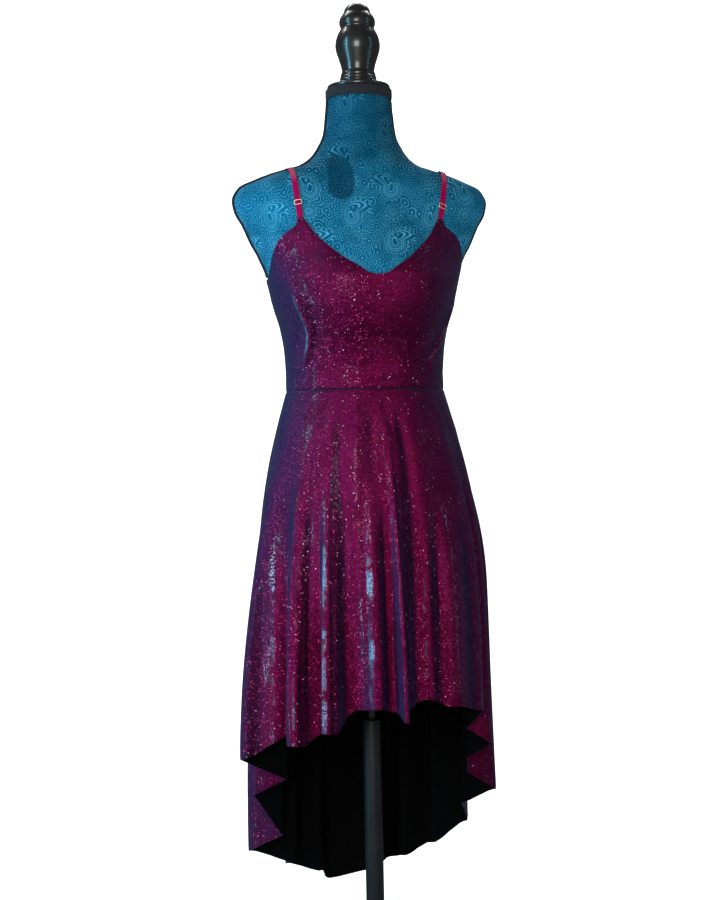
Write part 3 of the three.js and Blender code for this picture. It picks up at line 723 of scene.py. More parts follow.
def glitter_finish(sizes):
    """Foil-printed knit: burgundy where it faces the eye, blue-violet where it turns away."""
    finish = Finish("glitter_knit", specular_ior_level=0.3, specular_tint=(1.0, 0.25, 0.45, 1.0))
    uv = finish.uv()
    distance, chance, tilt = finish.cells(uv, 1 / sizes.glitter_size)
    _, fine, _ = finish.cells(uv, 2.4 / sizes.glitter_size)
    wide = finish.noise(uv, 24.0, 3.0)
    patch = finish.noise(uv, 9.0, 2.0)
    point = (distance < 0.34) * (chance[0] > 0.88 - patch * 0.3)
    star = (distance < chance[2] * 0.2 + 0.12) * (chance[1] > 0.98)
    depth = (fine[0] * 0.75 + wide * 0.5 - 0.2).clamped()
    # Painted shade: a thin dark line along the waist seam, where the bodice meets the skirt
    seam = line_on(finish.parts(uv)[1], 0.0, SEAM_LINE) * 0.8
    ground = finish.tones(depth, sizes.knit_colour, 0.35, 1.4)
    ground = finish.blend(seam, ground, SEAM_SHADE_COLOUR)
    # Painted shade darkens the knit in the troughs of the folds, and the coat's glitter gathers on
    # the side of a fold that faces the light
    light = finish.node("ShaderNodeAttribute", {"attribute_name": "fold_light"}, output="Fac")
    shaded = ((0.07 - light) * 2.4).clamped() * 0.9
    flash = ((light - 0.02) * 3).clamped()
    ground = finish.blend(shaded, ground, SHADE_COLOUR)
    glitter_and_painted_glint = finish.blend(point * (chance[2] * 0.8 + 0.2), ground, shade(sizes.glitter_colour))
    glitter_and_painted_glint = finish.blend(star * 0.9, glitter_and_painted_glint, STAR_COLOUR)
    # Painted highlights: pale streaks on the lit side of folds, on the wearer's right and middle
    # only
    painted_glint_side = ((0.09 - finish.parts(finish.place())[0]) * 25).clamped()
    painted_glint = (fine[0] > 0.56) * ((light - 0.42) * 4).clamped() * ((wide - 0.47) * 7).clamped()
    glitter_and_painted_glint = finish.blend(painted_glint * painted_glint_side * 0.7, glitter_and_painted_glint, HIGHLIGHT_STREAK_COLOUR)
    relief = knit_relief(finish, uv, sizes.knit_pitch)
    normal = finish.bump(relief + fine[2] * 0.8, 0.45, LOOP_DEPTH)
    centred = finish.vector_math("SUBTRACT", tilt, (0.5, 0.5, 0.5))
    leaned = finish.vector_math("MULTIPLY", centred, point * 0.5 + 0.23)
    facet = finish.vector_math("NORMALIZE", finish.vector_math("ADD", normal, leaned))
    # The foil leans to the wearer's right and shows sooner on that side
    lean = finish.node(
        "ShaderNodeVectorTransform",
        {"vector_type": "VECTOR", "convert_from": "OBJECT", "convert_to": "WORLD"},
        {0: (-0.2, 0.0, 0.0)},
    )
    seen = finish.vector_math("NORMALIZE", finish.vector_math("ADD", normal, lean))
    inputs = {"Blend": 0.5, "Normal": seen}
    turned = finish.node("ShaderNodeLayerWeight", inputs=inputs, output="Facing")
    bright = ((turned - 0.04) * 8).clamped() * ((wide - 0.36) * 5).clamped()
    spark = (distance < 0.4) * (chance[2] > 0.45) * bright * (flash * 0.8 + 0.25)
    finish.set(
        base_color=glitter_and_painted_glint,
        roughness=0.39 - point * 0.14,
        metallic=point * 0.12 + 0.84,
        coat_weight=spark,
        coat_roughness=0.12,
        normal=facet,
    )
    # Painted highlight streaks on the foil too, broken up, where the folds are given painted light
    broken = ((wide - 0.40) * 5).clamped() * (fine[0] * 0.8 + 0.1)
    sheen = finish.tones(fine[1], sizes.knit_sheen, 0.6, 1.3)
    sheen = finish.blend(((light - 0.45) * 4).clamped() * broken, sheen, HIGHLIGHT_STREAK_COLOUR)
    foil = finish.node("ShaderNodeBsdfPrincipled", inputs={
        "Base Color": sheen,
        "Metallic": 0.4,
        "Roughness": 0.3,
        "Normal": facet,
        "Coat Weight": spark,
        "Coat Roughness": 0.12,
        "Specular IOR Level": 0.5,
        "Specular Tint": shade(sizes.knit_glint),
    })
    share = ((turned - 0.28) * 4).clamped() * 0.9 + (fine[2] - 0.5) * 0.06
    finish.mix_shader(share.clamped(), foil)
    return finish.material


def wrong_side_finish(sizes):
    finish = Finish("knit_wrong_side", specular_ior_level=0.03)
    uv = finish.uv()
    cloud = finish.noise(uv, 260.0, 3.0)
    finish.set(
        base_color=finish.tones(cloud, sizes.wrong_side, 0.6, 1.5),
        roughness=cloud * 0.1 + 0.86,
        normal=finish.bump(knit_relief(finish, uv, sizes.knit_pitch), 0.4, LOOP_DEPTH),
    )
    return finish.material


def strap_finish(sizes):
    """Satin elastic: fine ribs across it and a row of tiny loops along each edge."""
    finish = Finish(
        "strap_elastic", specular_ior_level=0.1, specular_tint=(1.0, 0.3, 0.5, 1.0),
    )
    uv = finish.uv()
    u, v, _ = finish.parts(uv)
    ribs = (v * (2 * math.pi / RIB_PITCH)).sine()
    edge = ((abs(u) - STRAP_EDGE) * 1400).clamped()
    picot = (v * (2 * math.pi / PICOT_PITCH)).sine() * edge
    cloud = finish.noise(uv, 700.0, 2.0)
    tone = (cloud * 0.5 + ribs * 0.2 + 0.3 - edge * 0.35).clamped()
    finish.set(
        base_color=finish.tones(tone, sizes.strap_colour, 0.45, 1.25),
        roughness=edge * 0.2 + 0.45,
        normal=finish.bump(ribs * 0.5 + picot, 0.5, 0.0002),
    )
    return finish.material


def line_on(value, level, half_width):
    """One on a level of a value, falling to zero beside it."""
    return (1 - abs(value - level) / half_width).clamped()


def teardrop(finish, x, y, size, lean=1.0, curl=0.5):
    """A bent teardrop's levels: one on its outline, less inside it; also the angle round it."""
    far = (x * x + y * y).root()
    turn = y.turn_from(x)
    bent = turn - lean - far * (curl / size)
    tail = ((bent.cosine() - 1) * 5.5).power_of_e()
    return far / (tail * (1.75 * size) + size), turn


def drop_lines(finish, x, y, size):
    """Lines of one teardrop: outline, inner lines, beads, fringe and a scalloped rim."""
    reach, turn = teardrop(finish, x, y, size)
    thin = 0.8 / size
    rings = line_on(reach, 1.0, thin) + line_on(reach, 0.78, thin) + line_on(reach, 0.34, thin)
    beads = ((turn * 15).sine() * 2).clamped() * line_on(reach, 0.56, thin * 1.3)
    fringe = ((turn * 28).sine() * 2 + 0.3).clamped() * line_on(reach, 1.20, thin * 1.3)
    scallop = line_on(reach - abs((turn * 9).sine()) * 0.12, 1.40, thin)
    return rings + beads + fringe + scallop, reach


def velvet_lines(finish, u, v):
    """The velvet's embossed lines: bent teardrops with daisies between, and small eyes."""
    column = (u / PAISLEY_WIDTH).floor()
    odd = column.modulo(2.0)
    v_here = v + odd * (PAISLEY_HEIGHT / 2)
    row = (v_here / PAISLEY_HEIGHT).floor()
    hand = (row + column).modulo(2.0) * 2 - 1
    x = ((u / PAISLEY_WIDTH).fraction() - 0.5) * (PAISLEY_WIDTH / MM)
    y = ((v_here / PAISLEY_HEIGHT).fraction() - 0.5) * (PAISLEY_HEIGHT / MM)
    drops, reach = drop_lines(finish, x * hand, y + 9, 11.0)
    # Daisy between two teardrops of a column
    up = PAISLEY_HEIGHT / 2 / MM - abs(y)
    off = (x * x + up * up).root()
    swing = up.turn_from(x)
    rim = off - abs((swing * 6).cosine()) * 3.0 - 9.6
    daisy = line_on(rim, 0.0, 0.8) + line_on(off, 2.4, 0.7) + line_on(off, 4.8, 0.7)
    veins = line_on((swing * 12).sine(), 0.0, 0.5) * (off > 5.4) * (rim < 0.0)
    ring = line_on(off, 15.0, 0.8) * ((swing * 30).sine() > -0.1)
    # Small eyes wherever neither lies
    spot = finish.node("ShaderNodeCombineXYZ", inputs={0: u, 1: v})
    near, chance, _ = finish.cells(spot, 84.0)
    eyes = (((near * (chance[0] * 12 + 14)).sine() - 0.6) * 2.6).clamped()
    free = (reach > 1.56) * (off > 16.2)
    lines = drops.at_least(daisy + veins + ring)
    return lines.at_least(eyes * free * 0.7).clamped()


def velvet_finish(sizes):
    """Embossed velvet, with a brushed pile and a teardrop of flattened nap at the neck."""
    finish = Finish("form_velvet", specular_ior_level=0.03, specular_tint=(0.2, 0.8, 1.0, 1.0))
    uv = finish.uv()
    place = finish.place()
    warp = finish.noise(uv, 14.0, 1.0)
    lean = finish.noise(place, 19.0, 1.0)
    u, v, _ = finish.parts(uv)
    lines = velvet_lines(finish, u + (warp - 0.5) * 0.016, v + (lean - 0.5) * 0.016)
    pile = finish.noise(uv, 1500.0, 2.0, 0.7)
    brushed = finish.noise(place, 9.0, 4.0, 0.62)
    across, depth_way, height_way = finish.parts(place)
    nap_x, nap_height = (across + 0.044) / MM, (height_way - 1.322) / MM
    patch, _ = teardrop(finish, nap_x, nap_height, 19.0, 1.35, 0.12)
    nap = ((1.15 - patch) * 5 + (brushed - 0.5) * 2).clamped() * (depth_way < 0.0) * 0.95
    # Darker towards the top of the neck, and the embossed lines fade there too
    neck_darkening = ((height_way - 1.29) * 9).clamped() * 0.75
    depth = (brushed * 1.6 - 0.3 + (pile - 0.5) * 0.5 - neck_darkening).clamped()
    ground = finish.tones(depth, sizes.velvet_colour, 0.45, 1.25)
    worn = finish.noise(place, 36.0, 3.0)
    drawn = (lines * (worn * 3 - 0.55).clamped()) * (1 - neck_darkening * 0.8)
    ground = finish.blend(nap, ground, shade(sizes.velvet_colour, 0.3))
    finish.set(
        base_color=finish.blend(drawn * (1 - nap * 0.75), ground, shade(sizes.velvet_line)),
        roughness=0.78 - drawn * 0.16 + pile * 0.1,
        normal=finish.bump(pile * 0.5 - lines * 0.9, 0.55, sizes.velvet_relief),
    )
    return finish.material


def plain_finish(name, sizes, colour, tones, wear, grain, relief, gloss, **values):
    """Wear sets the tone and the gloss, and grain the fine relief, of an even finish."""
    finish = Finish(name, **values)
    place = finish.place()

    def noise(scale, detail, roughness=0.5, stretch=1.0):
        stretched = finish.vector_math("MULTIPLY", place, (1.0, 1.0, stretch))
        return finish.noise(stretched, scale, detail, roughness)

    worn, grained = noise(*wear), noise(*grain)
    tone = worn * grained * 1.6 if name == "black_wood" else worn
    finish.set(
        base_color=finish.tones(tone, getattr(sizes, colour), *tones),
        roughness=worn * 0.2 + gloss,
        normal=finish.bump(grained, *relief),
    )
    return finish.material


def finish_for(name):
    """A finish by name, made the first time that a piece asks for it."""
    made = bpy.data.materials.get(f"{name}_finish")
    sizes = bpy.context.scene.dress_sizes
    if made is None and name in PLAIN_FINISHES:
        made = plain_finish(name, sizes, **PLAIN_FINISHES[name])
    return made or FINISHES[name](sizes)


# Wear and grain are noises: scale, detail, roughness and stretch along the pole. Relief is strength
# and depth in metres.
PLAIN_FINISHES = {
    "slider_gold": dict(
        colour="gold_colour", tones=(0.7, 1.15), wear=(900.0, 4.0), grain=(2500.0, 2.0),
        relief=(0.08, 0.0001), gloss=0.28, metallic=0.75, coat_weight=0.3, coat_roughness=0.12,
    ),
    "black_wood": dict(
        colour="wood_colour", tones=(0.5, 2.2), wear=(34.0, 4.0, 0.6),
        grain=(420.0, 5.0, 0.6, 0.16), relief=(0.12, 0.0003), gloss=0.2, coat_weight=0.25,
        coat_roughness=0.16, specular_ior_level=0.3,
    ),
    "black_braid": dict(
        colour="braid_colour", tones=(0.4, 1.9), wear=(2200.0, 3.0, 0.65),
        grain=(2200.0, 3.0, 0.65), relief=(0.5, 0.0002), gloss=0.68, sheen_weight=0.04,
        sheen_roughness=0.45, specular_ior_level=0.25,
    ),
    "rod_steel": dict(
        colour="steel_colour", tones=(0.7, 1.2), wear=(90.0, 3.0, 0.5, 30.0),
        grain=(90.0, 3.0, 0.5, 30.0), relief=(0.1, 0.0001), gloss=0.25, metallic=1.0,
    ),
    "black_paint": dict(
        colour="paint_colour", tones=(0.6, 1.8), wear=(18.0, 5.0, 0.6), grain=(700.0, 2.0),
        relief=(0.12, 0.0003), gloss=0.36, specular_ior_level=0.2,
    ),
}
FINISHES = {
    "glitter_knit": glitter_finish,
    "knit_wrong_side": wrong_side_finish,
    "strap_elastic": strap_finish,
    "form_velvet": velvet_finish,
}

# A knot's sizes in metres and its lean in radians, unless the braid gives others
KNOT_SIZES = {
    "Spacing": 0.0026, "Length": 0.0036, "Width": 0.0024, "Thickness": 0.0016, "Lean": 0.5,
}


def knot_tree():
    """Knots set side by side along a path, leaning to the left and to the right in turn."""
    tree = bpy.data.node_groups.new("braid_knots", "GeometryNodeTree")
    tree.is_modifier = True

    def socket(name, kind, way="INPUT"):
        return tree.interface.new_socket(name, in_out=way, socket_type=f"NodeSocket{kind}")

    socket("Path", "Geometry")
    for name, default in KNOT_SIZES.items():
        socket(name, "Float").default_value = default
    socket("Finish", "Material")
    socket("Knots", "Geometry", "OUTPUT")

    def add(kind, settings=None, **inputs):
        node = tree.nodes.new(kind)
        for key, value in (settings or {}).items():
            setattr(node, key, value)
        for key, value in inputs.items():
            place = int(key[1:]) if key[1:].isdigit() else key
            if isinstance(value, bpy.types.NodeSocket):
                tree.links.new(value, node.inputs[place])
            else:
                node.inputs[place].default_value = value
        return node.outputs

    def maths(operation, *values):
        inputs = {f"_{i}": value for i, value in enumerate(values)}
        return add("ShaderNodeMath", {"operation": operation}, **inputs)[0]

    given = add("NodeGroupInput")
    curve = add("GeometryNodeMeshToCurve", _0=given["Path"])[0]
    by_length = {"mode": "LENGTH"}
    even = add("GeometryNodeResampleCurve", by_length, Curve=curve, Length=given["Spacing"])
    run = add("GeometryNodeInputTangent")[0]
    out = add("GeometryNodeInputNamedAttribute", {"data_type": "FLOAT_VECTOR"}, Name="out")[0]
    axes = {"primary_axis": "X", "secondary_axis": "Z"}
    facing = add("FunctionNodeAxesToRotation", axes, _0=run, _1=out)[0]
    sign = maths("MULTIPLY_ADD", maths("MODULO", add("GeometryNodeInputIndex")[0], 2.0), 2.0, -1.0)
    angles = add("ShaderNodeCombineXYZ", _2=maths("MULTIPLY", sign, given["Lean"]))[0]
    turn = add("FunctionNodeEulerToRotation", _0=angles)[0]
    local = {"rotation_space": "LOCAL"}
    facing = add("FunctionNodeRotateRotation", local, _0=facing, _1=turn)[0]
    knot = add("GeometryNodeMeshUVSphere", Segments=8, Rings=5, Radius=0.5)[0]
    sizes = {f"_{i}": given[name] for i, name in enumerate(["Length", "Width", "Thickness"])}
    size = add("ShaderNodeCombineXYZ", **sizes)[0]
    shaped = add("GeometryNodeTransform", Geometry=knot, Scale=size)[0]
    smooth = add("GeometryNodeSetShadeSmooth", _0=shaped)[0]
    placed = add("GeometryNodeInstanceOnPoints", Points=even[0], Instance=smooth, Rotation=facing)
    real = add("GeometryNodeRealizeInstances", _0=placed[0])[0]
    finished = add("GeometryNodeSetMaterial", Geometry=real, Material=given["Finish"])
    add("NodeGroupOutput", _0=finished[0])
    return tree


def knots_along(name, paths, finish, **sizes):
    """One mesh of knots along several paths; a path is (points, outs, whether it is closed)."""
    points, edges, outs = [], [], []
    for path, directions, closed in paths:
        first, count = len(points), len(path)
        steps = range(count if closed else count - 1)
        edges += [(first + i, first + (i + 1) % count) for i in steps]
        points += (np.asarray(path) * MM).tolist()
        outs += np.asarray(directions).tolist()
    mesh = bpy.data.meshes.new(name)
    mesh.from_pydata(points, edges, [])
    mesh.attributes.new("out", "FLOAT_VECTOR", "POINT").data.foreach_set("vector", np.ravel(outs))
    guide = bpy.data.objects.new(name, mesh)
    bpy.context.scene.collection.objects.link(guide)
    tree = bpy.data.node_groups.get("braid_knots") or knot_tree()
    modifier = guide.modifiers.new("knots", "NODES")
    modifier.node_group = tree
    identifiers = {item.name: item.identifier for item in tree.interface.items_tree}
    for key, value in {**sizes, "Finish": finish}.items():
        modifier[identifiers[key]] = value
    evaluated = guide.evaluated_get(bpy.context.evaluated_depsgraph_get())
    made = bpy.data.meshes.new_from_object(evaluated)
    guide.modifiers.clear()
    guide.data = made
    bpy.data.meshes.remove(mesh)
    made.name = name
    if not made.polygons:
        raise RuntimeError(f"{name} has no knots")
    return guide


def settle(obj, *nodes, slot):
    """Lets a finished piece ride on the part and stand for its CAD nodes."""
    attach(obj, "root")
    if nodes:
        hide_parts(*nodes)


def lifted(grid):
    return grid + [0, 0, WAIST_HEIGHT]


def size_property(name, description, default, top):
    return FloatProperty(
        name=name, description=description, default=default, min=default * 0.1, max=top,
        unit="LENGTH", precision=5,
    )


def colour_property(name, description, default):
    return FloatVectorProperty(
        name=name, description=description, default=default, size=3, min=0, max=1, subtype="COLOR",
    )


class DressSizes(bpy.types.PropertyGroup):
    cloth_thickness: size_property("Cloth thickness", "Thickness of the knit", 0.0011, 0.0013)
    knit_pitch: size_property("Knit pitch", "Width of one wale of the knit", 0.0009, 0.01)
    glitter_size: size_property("Glitter spacing", "Ground of one glitter point", 0.0021, 0.02)
    velvet_relief: size_property("Velvet relief", "Depth of the embossed lines", 0.0006, 0.003)
    knot_spacing: size_property("Knot spacing", "From knot to knot of the braid", 0.0027, 0.01)
    column_step: IntProperty(
        name="Columns in a fold", description="Columns of faces in each fold of the skirt",
        default=15, min=4, max=18,
    )
    knit_colour: colour_property("Knit", "Right side of the knit", (0.115, 0.0015, 0.030))
    knit_sheen: colour_property("Knit sheen", "Foil seen from the side", (0.025, 0.021, 0.085))
    knit_glint: colour_property("Knit glint", "Foil seen at a slant", (0.35, 0.85, 1.0))
    glitter_colour: colour_property("Glitter", "Glitter points of the knit", (0.50, 0.03, 0.15))
    wrong_side: colour_property("Wrong side", "Wrong side of the knit", (0.0012, 0.0012, 0.0014))
    strap_colour: colour_property("Straps", "Satin-faced elastic", (0.30, 0.0, 0.050))
    gold_colour: colour_property("Sliders", "Plating of the strap sliders", (1.0, 0.74, 0.42))
    velvet_colour: colour_property("Velvet", "Pile of the form's cover", (0.003, 0.090, 0.170))
    velvet_line: colour_property("Velvet lines", "Embossed lines", (0.08, 0.32, 0.45))
    wood_colour: colour_property("Wood", "Lacquered neck disc and finial", (0.010, 0.008, 0.007))
    braid_colour: colour_property("Braid", "Gimp braid of the form", (0.010, 0.010, 0.012))
    steel_colour: colour_property("Rod", "Steel rod of the stand", (0.10, 0.10, 0.105))
    paint_colour: colour_property("Stand", "Paint of the pole and the base", (0.006, 0.006, 0.007))


class Builder(bpy.types.Operator):
    bl_options = {"REGISTER", "UNDO"}

    def execute(self, context):
        self.build(context.scene.dress_sizes)
        return {"FINISHED"}


def cloth_panel(name, outer, inner, creases, flat):
    """A panel of the knit with its wrong side, standing for the CAD node of its name."""
    finishes = [finish_for("glitter_knit"), finish_for("knit_wrong_side")]
    light = fold_light(creases, flat)
    obj = cloth_wall(f"{name}_knit", lifted(outer), lifted(inner), flat, finishes, light)
    settle(obj, name, slot="glitter_knit")


def bodice_panel(name, angles, sizes):
    """One panel of the bodice from its waist seam to its upper edge, drawn in at its seams."""
    shares = [0, 0.006, 0.016, *np.linspace(0.03, 0.97, 62), 0.984, 0.994, 1]
    angle, share = np.meshgrid(angles, shares)
    low = SEAM_GAP / 2
    height = low + (top_height(angle) - low) * share
    outer = form_point(angle, height, FORM_CLEARANCE + CLOTH)
    normal = outward(outer)
    thickness = sizes.cloth_thickness / MM
    from_side = np.abs(np.abs(np.abs(angle) - 180) - 90) * GIRTH_STEP
    seam = np.exp(-height / SEAM_FADE)
    seam += SIDE_SEAM_SHARE * np.exp(-from_side / BODICE_SIDE_FADE)
    top = np.exp(-(top_height(angle) - height) / 2.2)
    creases = crease_height(BODICE_CREASES, angle, height, GIRTH_STEP)
    # Creases of the wearer's right side, which end past the side seam
    past = crease_height(BODICE_CREASES, angle - 360, height, GIRTH_STEP)
    creases += past * (angle > 269)
    relief = creases + 0.45 * swell(angle * GIRTH_STEP, height, 4) * ease(height / 30)
    relief -= SEAM_DIP * np.clip(seam, 0, 1)
    relief = np.maximum(relief, thickness - CLOTH - FORM_CLEARANCE + 0.5) - 0.3 * top
    outer = outer + normal * relief[..., None]
    inner = outer - normal * thickness
    flat = lengths_on(outer)
    flat[..., 1] = height * MM
    cloth_panel(name, outer, inner, creases, flat)


def panel_angles(marks, step):
    """Angles from the first mark to the last, every mark kept, at most a step apart."""
    angles = [marks[0]]
    for before, after in zip(marks, marks[1:]):
        parts = max(1, math.ceil((after - before) / step))
        angles += np.linspace(before, after, parts + 1)[1:].tolist()
    return angles


class DRESS_OT_bodice(Builder):
    """Front and back of the bodice, close to the body, with the creases that the pull makes"""

    bl_idname = "dress.bodice"
    bl_label = "Bodice"

    def build(self, sizes):
        marks = TOP_EDGE.key
        half = [a for a in marks if a < 90] + [90 - SIDE_SEAM_HALF]
        front = sorted({-a for a in half} | set(half))
        back = [90 + SIDE_SEAM_HALF] + [a for a in marks if a > 90]
        back = sorted({360 - a for a in back} | set(back))
        bodice_panel("bodice_front", panel_angles(front, 1.0), sizes)
        bodice_panel("bodice_back", panel_angles(back, 1.1), sizes)


def skirt_panel(name, first, last, sizes):
    """One panel of the skirt between its side seams, from the waist seam to the hem."""
    places = np.linspace(first, last, (last - first) * sizes.column_step + 1)
    places[0] += SIDE_SEAM_CUT
    places[-1] -= SIDE_SEAM_CUT
    shares = [0, 0.002, 0.005, 0.01, *np.linspace(0.02, 0.985, 118), 0.993, 0.997, 1]
    place, share = np.meshgrid(places, shares)
    low = SEAM_GAP / 2
    hem = hem_drop(place)
    drop = low + (hem - low) * share
    outer = skirt_point(place, drop)
    normal = outward(outer)
    angle = waist_angle(place)
    from_side = np.minimum(place - first, last - place) * FOLD_GIRTH
    seam = np.exp(-drop / SEAM_FADE) + SIDE_SEAM_SHARE * np.exp(-from_side / SKIRT_SIDE_FADE)
    creases = crease_height(SKIRT_CREASES, angle, -drop, GIRTH_STEP)
    relief = creases + 1.3 * swell(angle * GIRTH_STEP, drop, 9) * ease((drop - 20) / 240)
    relief += 0.5 * np.sin(angle * 1.9 + drop * 0.012) * ease((drop - hem + 90) / 90)
    relief -= SEAM_DIP * np.clip(seam, 0, 1) + 0.5 * np.exp(-(hem - drop) / 3.0)
    relief = np.clip(relief, -CREASE_LIMIT, CREASE_LIMIT)
    near_waist = drop < WAIST_CREASE_DROP
    relief = np.where(near_waist, np.maximum(relief, -WAIST_CREASE_LIMIT), relief)
    outer = outer + normal * relief[..., None]
    inner = outer - outward(outer) * (sizes.cloth_thickness / MM)
    cloth_panel(name, outer, inner, creases, lengths_on(outer))


class DRESS_OT_skirt(Builder):
    """Front and back of the skirt, short in front and long behind, in soft uneven folds"""

    bl_idname = "dress.skirt"
    bl_label = "Skirt"

    def build(self, sizes):
        skirt_panel("skirt_front", 0, FRONT_FOLDS, sizes)
        skirt_panel("skirt_back", FRONT_FOLDS, len(FOLDS), sizes)


def strap(name, side, shoulder_reach, slider_rise):
    """One strap from its front end to its back end, raised over its slider's middle bar."""
    route = strap_route(side, shoulder_reach)
    total = np.sum(np.linalg.norm(np.diff(route, axis=0), axis=1))
    fine = slider_rise + np.linspace(-4, 4, 33)
    lengths = np.unique(np.concatenate([np.linspace(0, total, 130), fine]).round(3))
    lengths = np.clip(lengths, 0, total)
    points, outs = on_route(route, lengths)
    # The ends turn to lie along the upright cloth of their peaks
    level = outs * [1, 1, 0]
    level /= np.linalg.norm(level, axis=1, keepdims=True)
    near_end = np.clip(1 - np.minimum(lengths, total - lengths) / 9, 0, 1)[:, None]
    outs = outs * (1 - near_end) + level * near_end
    outs /= np.linalg.norm(outs, axis=1, keepdims=True)
    from_bar = np.abs(lengths - slider_rise)
    rise = STRAP_RISE * ease((STRAP_RISE_REACH - from_bar) / STRAP_RISE_SLOPE)
    middle = points + outs * (FORM_CLEARANCE + STRAP_THICKNESS / 2 + rise)[:, None]
    half, thick = STRAP_WIDTH / 2, STRAP_THICKNESS / 2
    corner = [(half, thick - 0.3), (half - 0.12, thick - 0.1), (half - 0.4, thick - 0.02)]
    crown = [(x, thick) for x in (2.0, 0.0, -2.0)]
    upper = corner + crown + [(-x, y) for x, y in corner[::-1]]
    profile = upper + [(x, -y) for x, y in upper[::-1]]
    made, faces = tube(middle, outs, profile, closed=False)
    across = np.tile([x for x, _ in profile], len(lengths)) * MM
    flat = np.stack([across, np.repeat(lengths, len(profile)) * MM], -1)
    corners = np.concatenate([flat[list(face)] for face in faces])
    finishes = [finish_for("strap_elastic")]
    obj = build_object(
        f"strap_{name}_elastic", lifted(made), faces, finishes, corners=corners, sharp=60,
    )
    settle(obj, f"strap_{name}", slot="strap_elastic")


class DRESS_OT_straps(Builder):
    """Two satin elastic straps, each led over the middle bar of its slider"""

    bl_idname = "dress.straps"
    bl_label = "Straps"

    def build(self, sizes):
        for name, row in STRAPS.items():
            strap(name, *row)


def wire_profile(radius, sides=10):
    turn = np.linspace(0, 2 * np.pi, sides, endpoint=False)
    return np.stack([radius * np.cos(turn), radius * np.sin(turn)], -1)


def slider(name, side, shoulder_reach, slider_rise):
    """One slider: a wire frame with rounded corners and a middle bar."""
    radius = SLIDER_WIRE / 2
    route = strap_route(side, shoulder_reach)
    point, out = (part[0] for part in on_route(route, [slider_rise]))
    ahead, _ = on_route(route, [slider_rise - 1, slider_rise + 1])
    across = np.cross(ahead[1] - ahead[0], out)
    across /= np.linalg.norm(across)
    up = np.cross(out, across)
    centre = point + out * (SLIDER_LIFT + radius)
    half_width, half_length = SLIDER_WIDTH / 2 - radius, SLIDER_LENGTH / 2 - radius
    loop = []
    for quarter, (sx, sy) in enumerate([(1, 1), (-1, 1), (-1, -1), (1, -1)]):
        for turn in np.radians(np.linspace(0, 90, 6) + 90 * quarter):
            x = sx * (half_width - SLIDER_CORNER) + SLIDER_CORNER * math.cos(turn)
            y = sy * (half_length - SLIDER_CORNER) + SLIDER_CORNER * math.sin(turn)
            loop.append(centre + across * x + up * y)
    points, faces = tube(loop, [out] * len(loop), wire_profile(radius), closed=True)
    bar = [centre + across * x for x in np.linspace(-half_width, half_width, 5)]
    bar_points, bar_faces = tube(bar, [out] * 5, wire_profile(radius * 0.96), closed=False)
    faces = faces + [[i + len(points) for i in face] for face in bar_faces]
    points = lifted(np.concatenate([points, bar_points]))
    obj = build_object(f"slider_{name}_gold", points, faces, [finish_for("slider_gold")], sharp=50)
    settle(obj, f"slider_{name}", slot="gold_metal")


class DRESS_OT_sliders(Builder):
    """Gold strap sliders: a rounded wire frame with a middle bar"""

    bl_idname = "dress.sliders"
    bl_label = "Strap sliders"

    def build(self, sizes):
        for name, row in STRAPS.items():
            slider(name, *row)


class DRESS_OT_torso(Builder):
    """Velvet-covered torso of the form, with its neck and shoulders"""

    bl_idname = "dress.torso"
    bl_label = "Form's torso"

    def build(self, sizes):
        rows, columns = TORSO_ROWS, TORSO_COLUMNS
        # Rows lie evenly along the outline, so they are close together on the shoulders
        guide = np.linspace(FORM.key[0], FORM.key[-1], 1400)
        bend = np.hypot(np.diff(FORM.at("half", guide)), np.diff(guide))
        travelled = np.concatenate([[0], np.cumsum(bend)])
        heights = np.interp(np.linspace(0, travelled[-1], rows), travelled, guide)
        angles = np.linspace(-180, 180, columns, endpoint=False)
        angle, height = np.meshgrid(angles, heights)
        grid = form_point(angle, height, 0)
        index = np.arange(rows * columns).reshape(rows, columns)
        after = np.roll(index, -1, axis=1)
        quads = np.stack([index[:-1], after[:-1], after[1:], index[1:]], -1).reshape(-1, 4)
        # The cover is two cloths, measured from the middle of the front and of the back
        step = np.linalg.norm(grid - np.roll(grid, 1, axis=1), axis=-1)
        around = np.cumsum(step, axis=1)
        from_front = around - around[:, columns // 2, None]
        round_back = around - step[:, :1]
        from_back = np.where(angle < 0, round_back, round_back - around[:, -1, None])
        in_front = np.tile(np.abs(angles + 180 / columns) < 90, rows - 1)
        front, back = (
            (np.stack([across.ravel(), height.ravel()], -1) * MM)[quads]
            for across in (from_front, from_back)
        )
        flat = np.where(in_front[:, None, None], front, back)
        # The last column's faces close the ring, so their far side lies one step on
        jump = flat[:, 1, 0] - flat[:, 0, 0]
        flat[:, 1:3, 0] += np.where(jump < -0.05, -jump + 0.005, 0)[:, None]
        middles = [[0, 0, heights[0]], [0, 0, heights[-1]]]
        points = np.concatenate([grid.reshape(-1, 3), middles])
        low, high = rows * columns, rows * columns + 1
        caps = []
        for here, there in zip(index[[0, -1]].T, after[[0, -1]].T):
            caps += [[there[0], here[0], low], [here[1], there[1], high]]
        cap_corners = np.concatenate([points[face][:, :2] * MM for face in caps])
        obj = build_object(
            "form_torso_velvet", lifted(points), quads.tolist() + caps, [finish_for("form_velvet")],
            corners=np.concatenate([flat.reshape(-1, 2), cap_corners]), sharp=60,
        )
        settle(obj, "form_torso", slot="velvet")


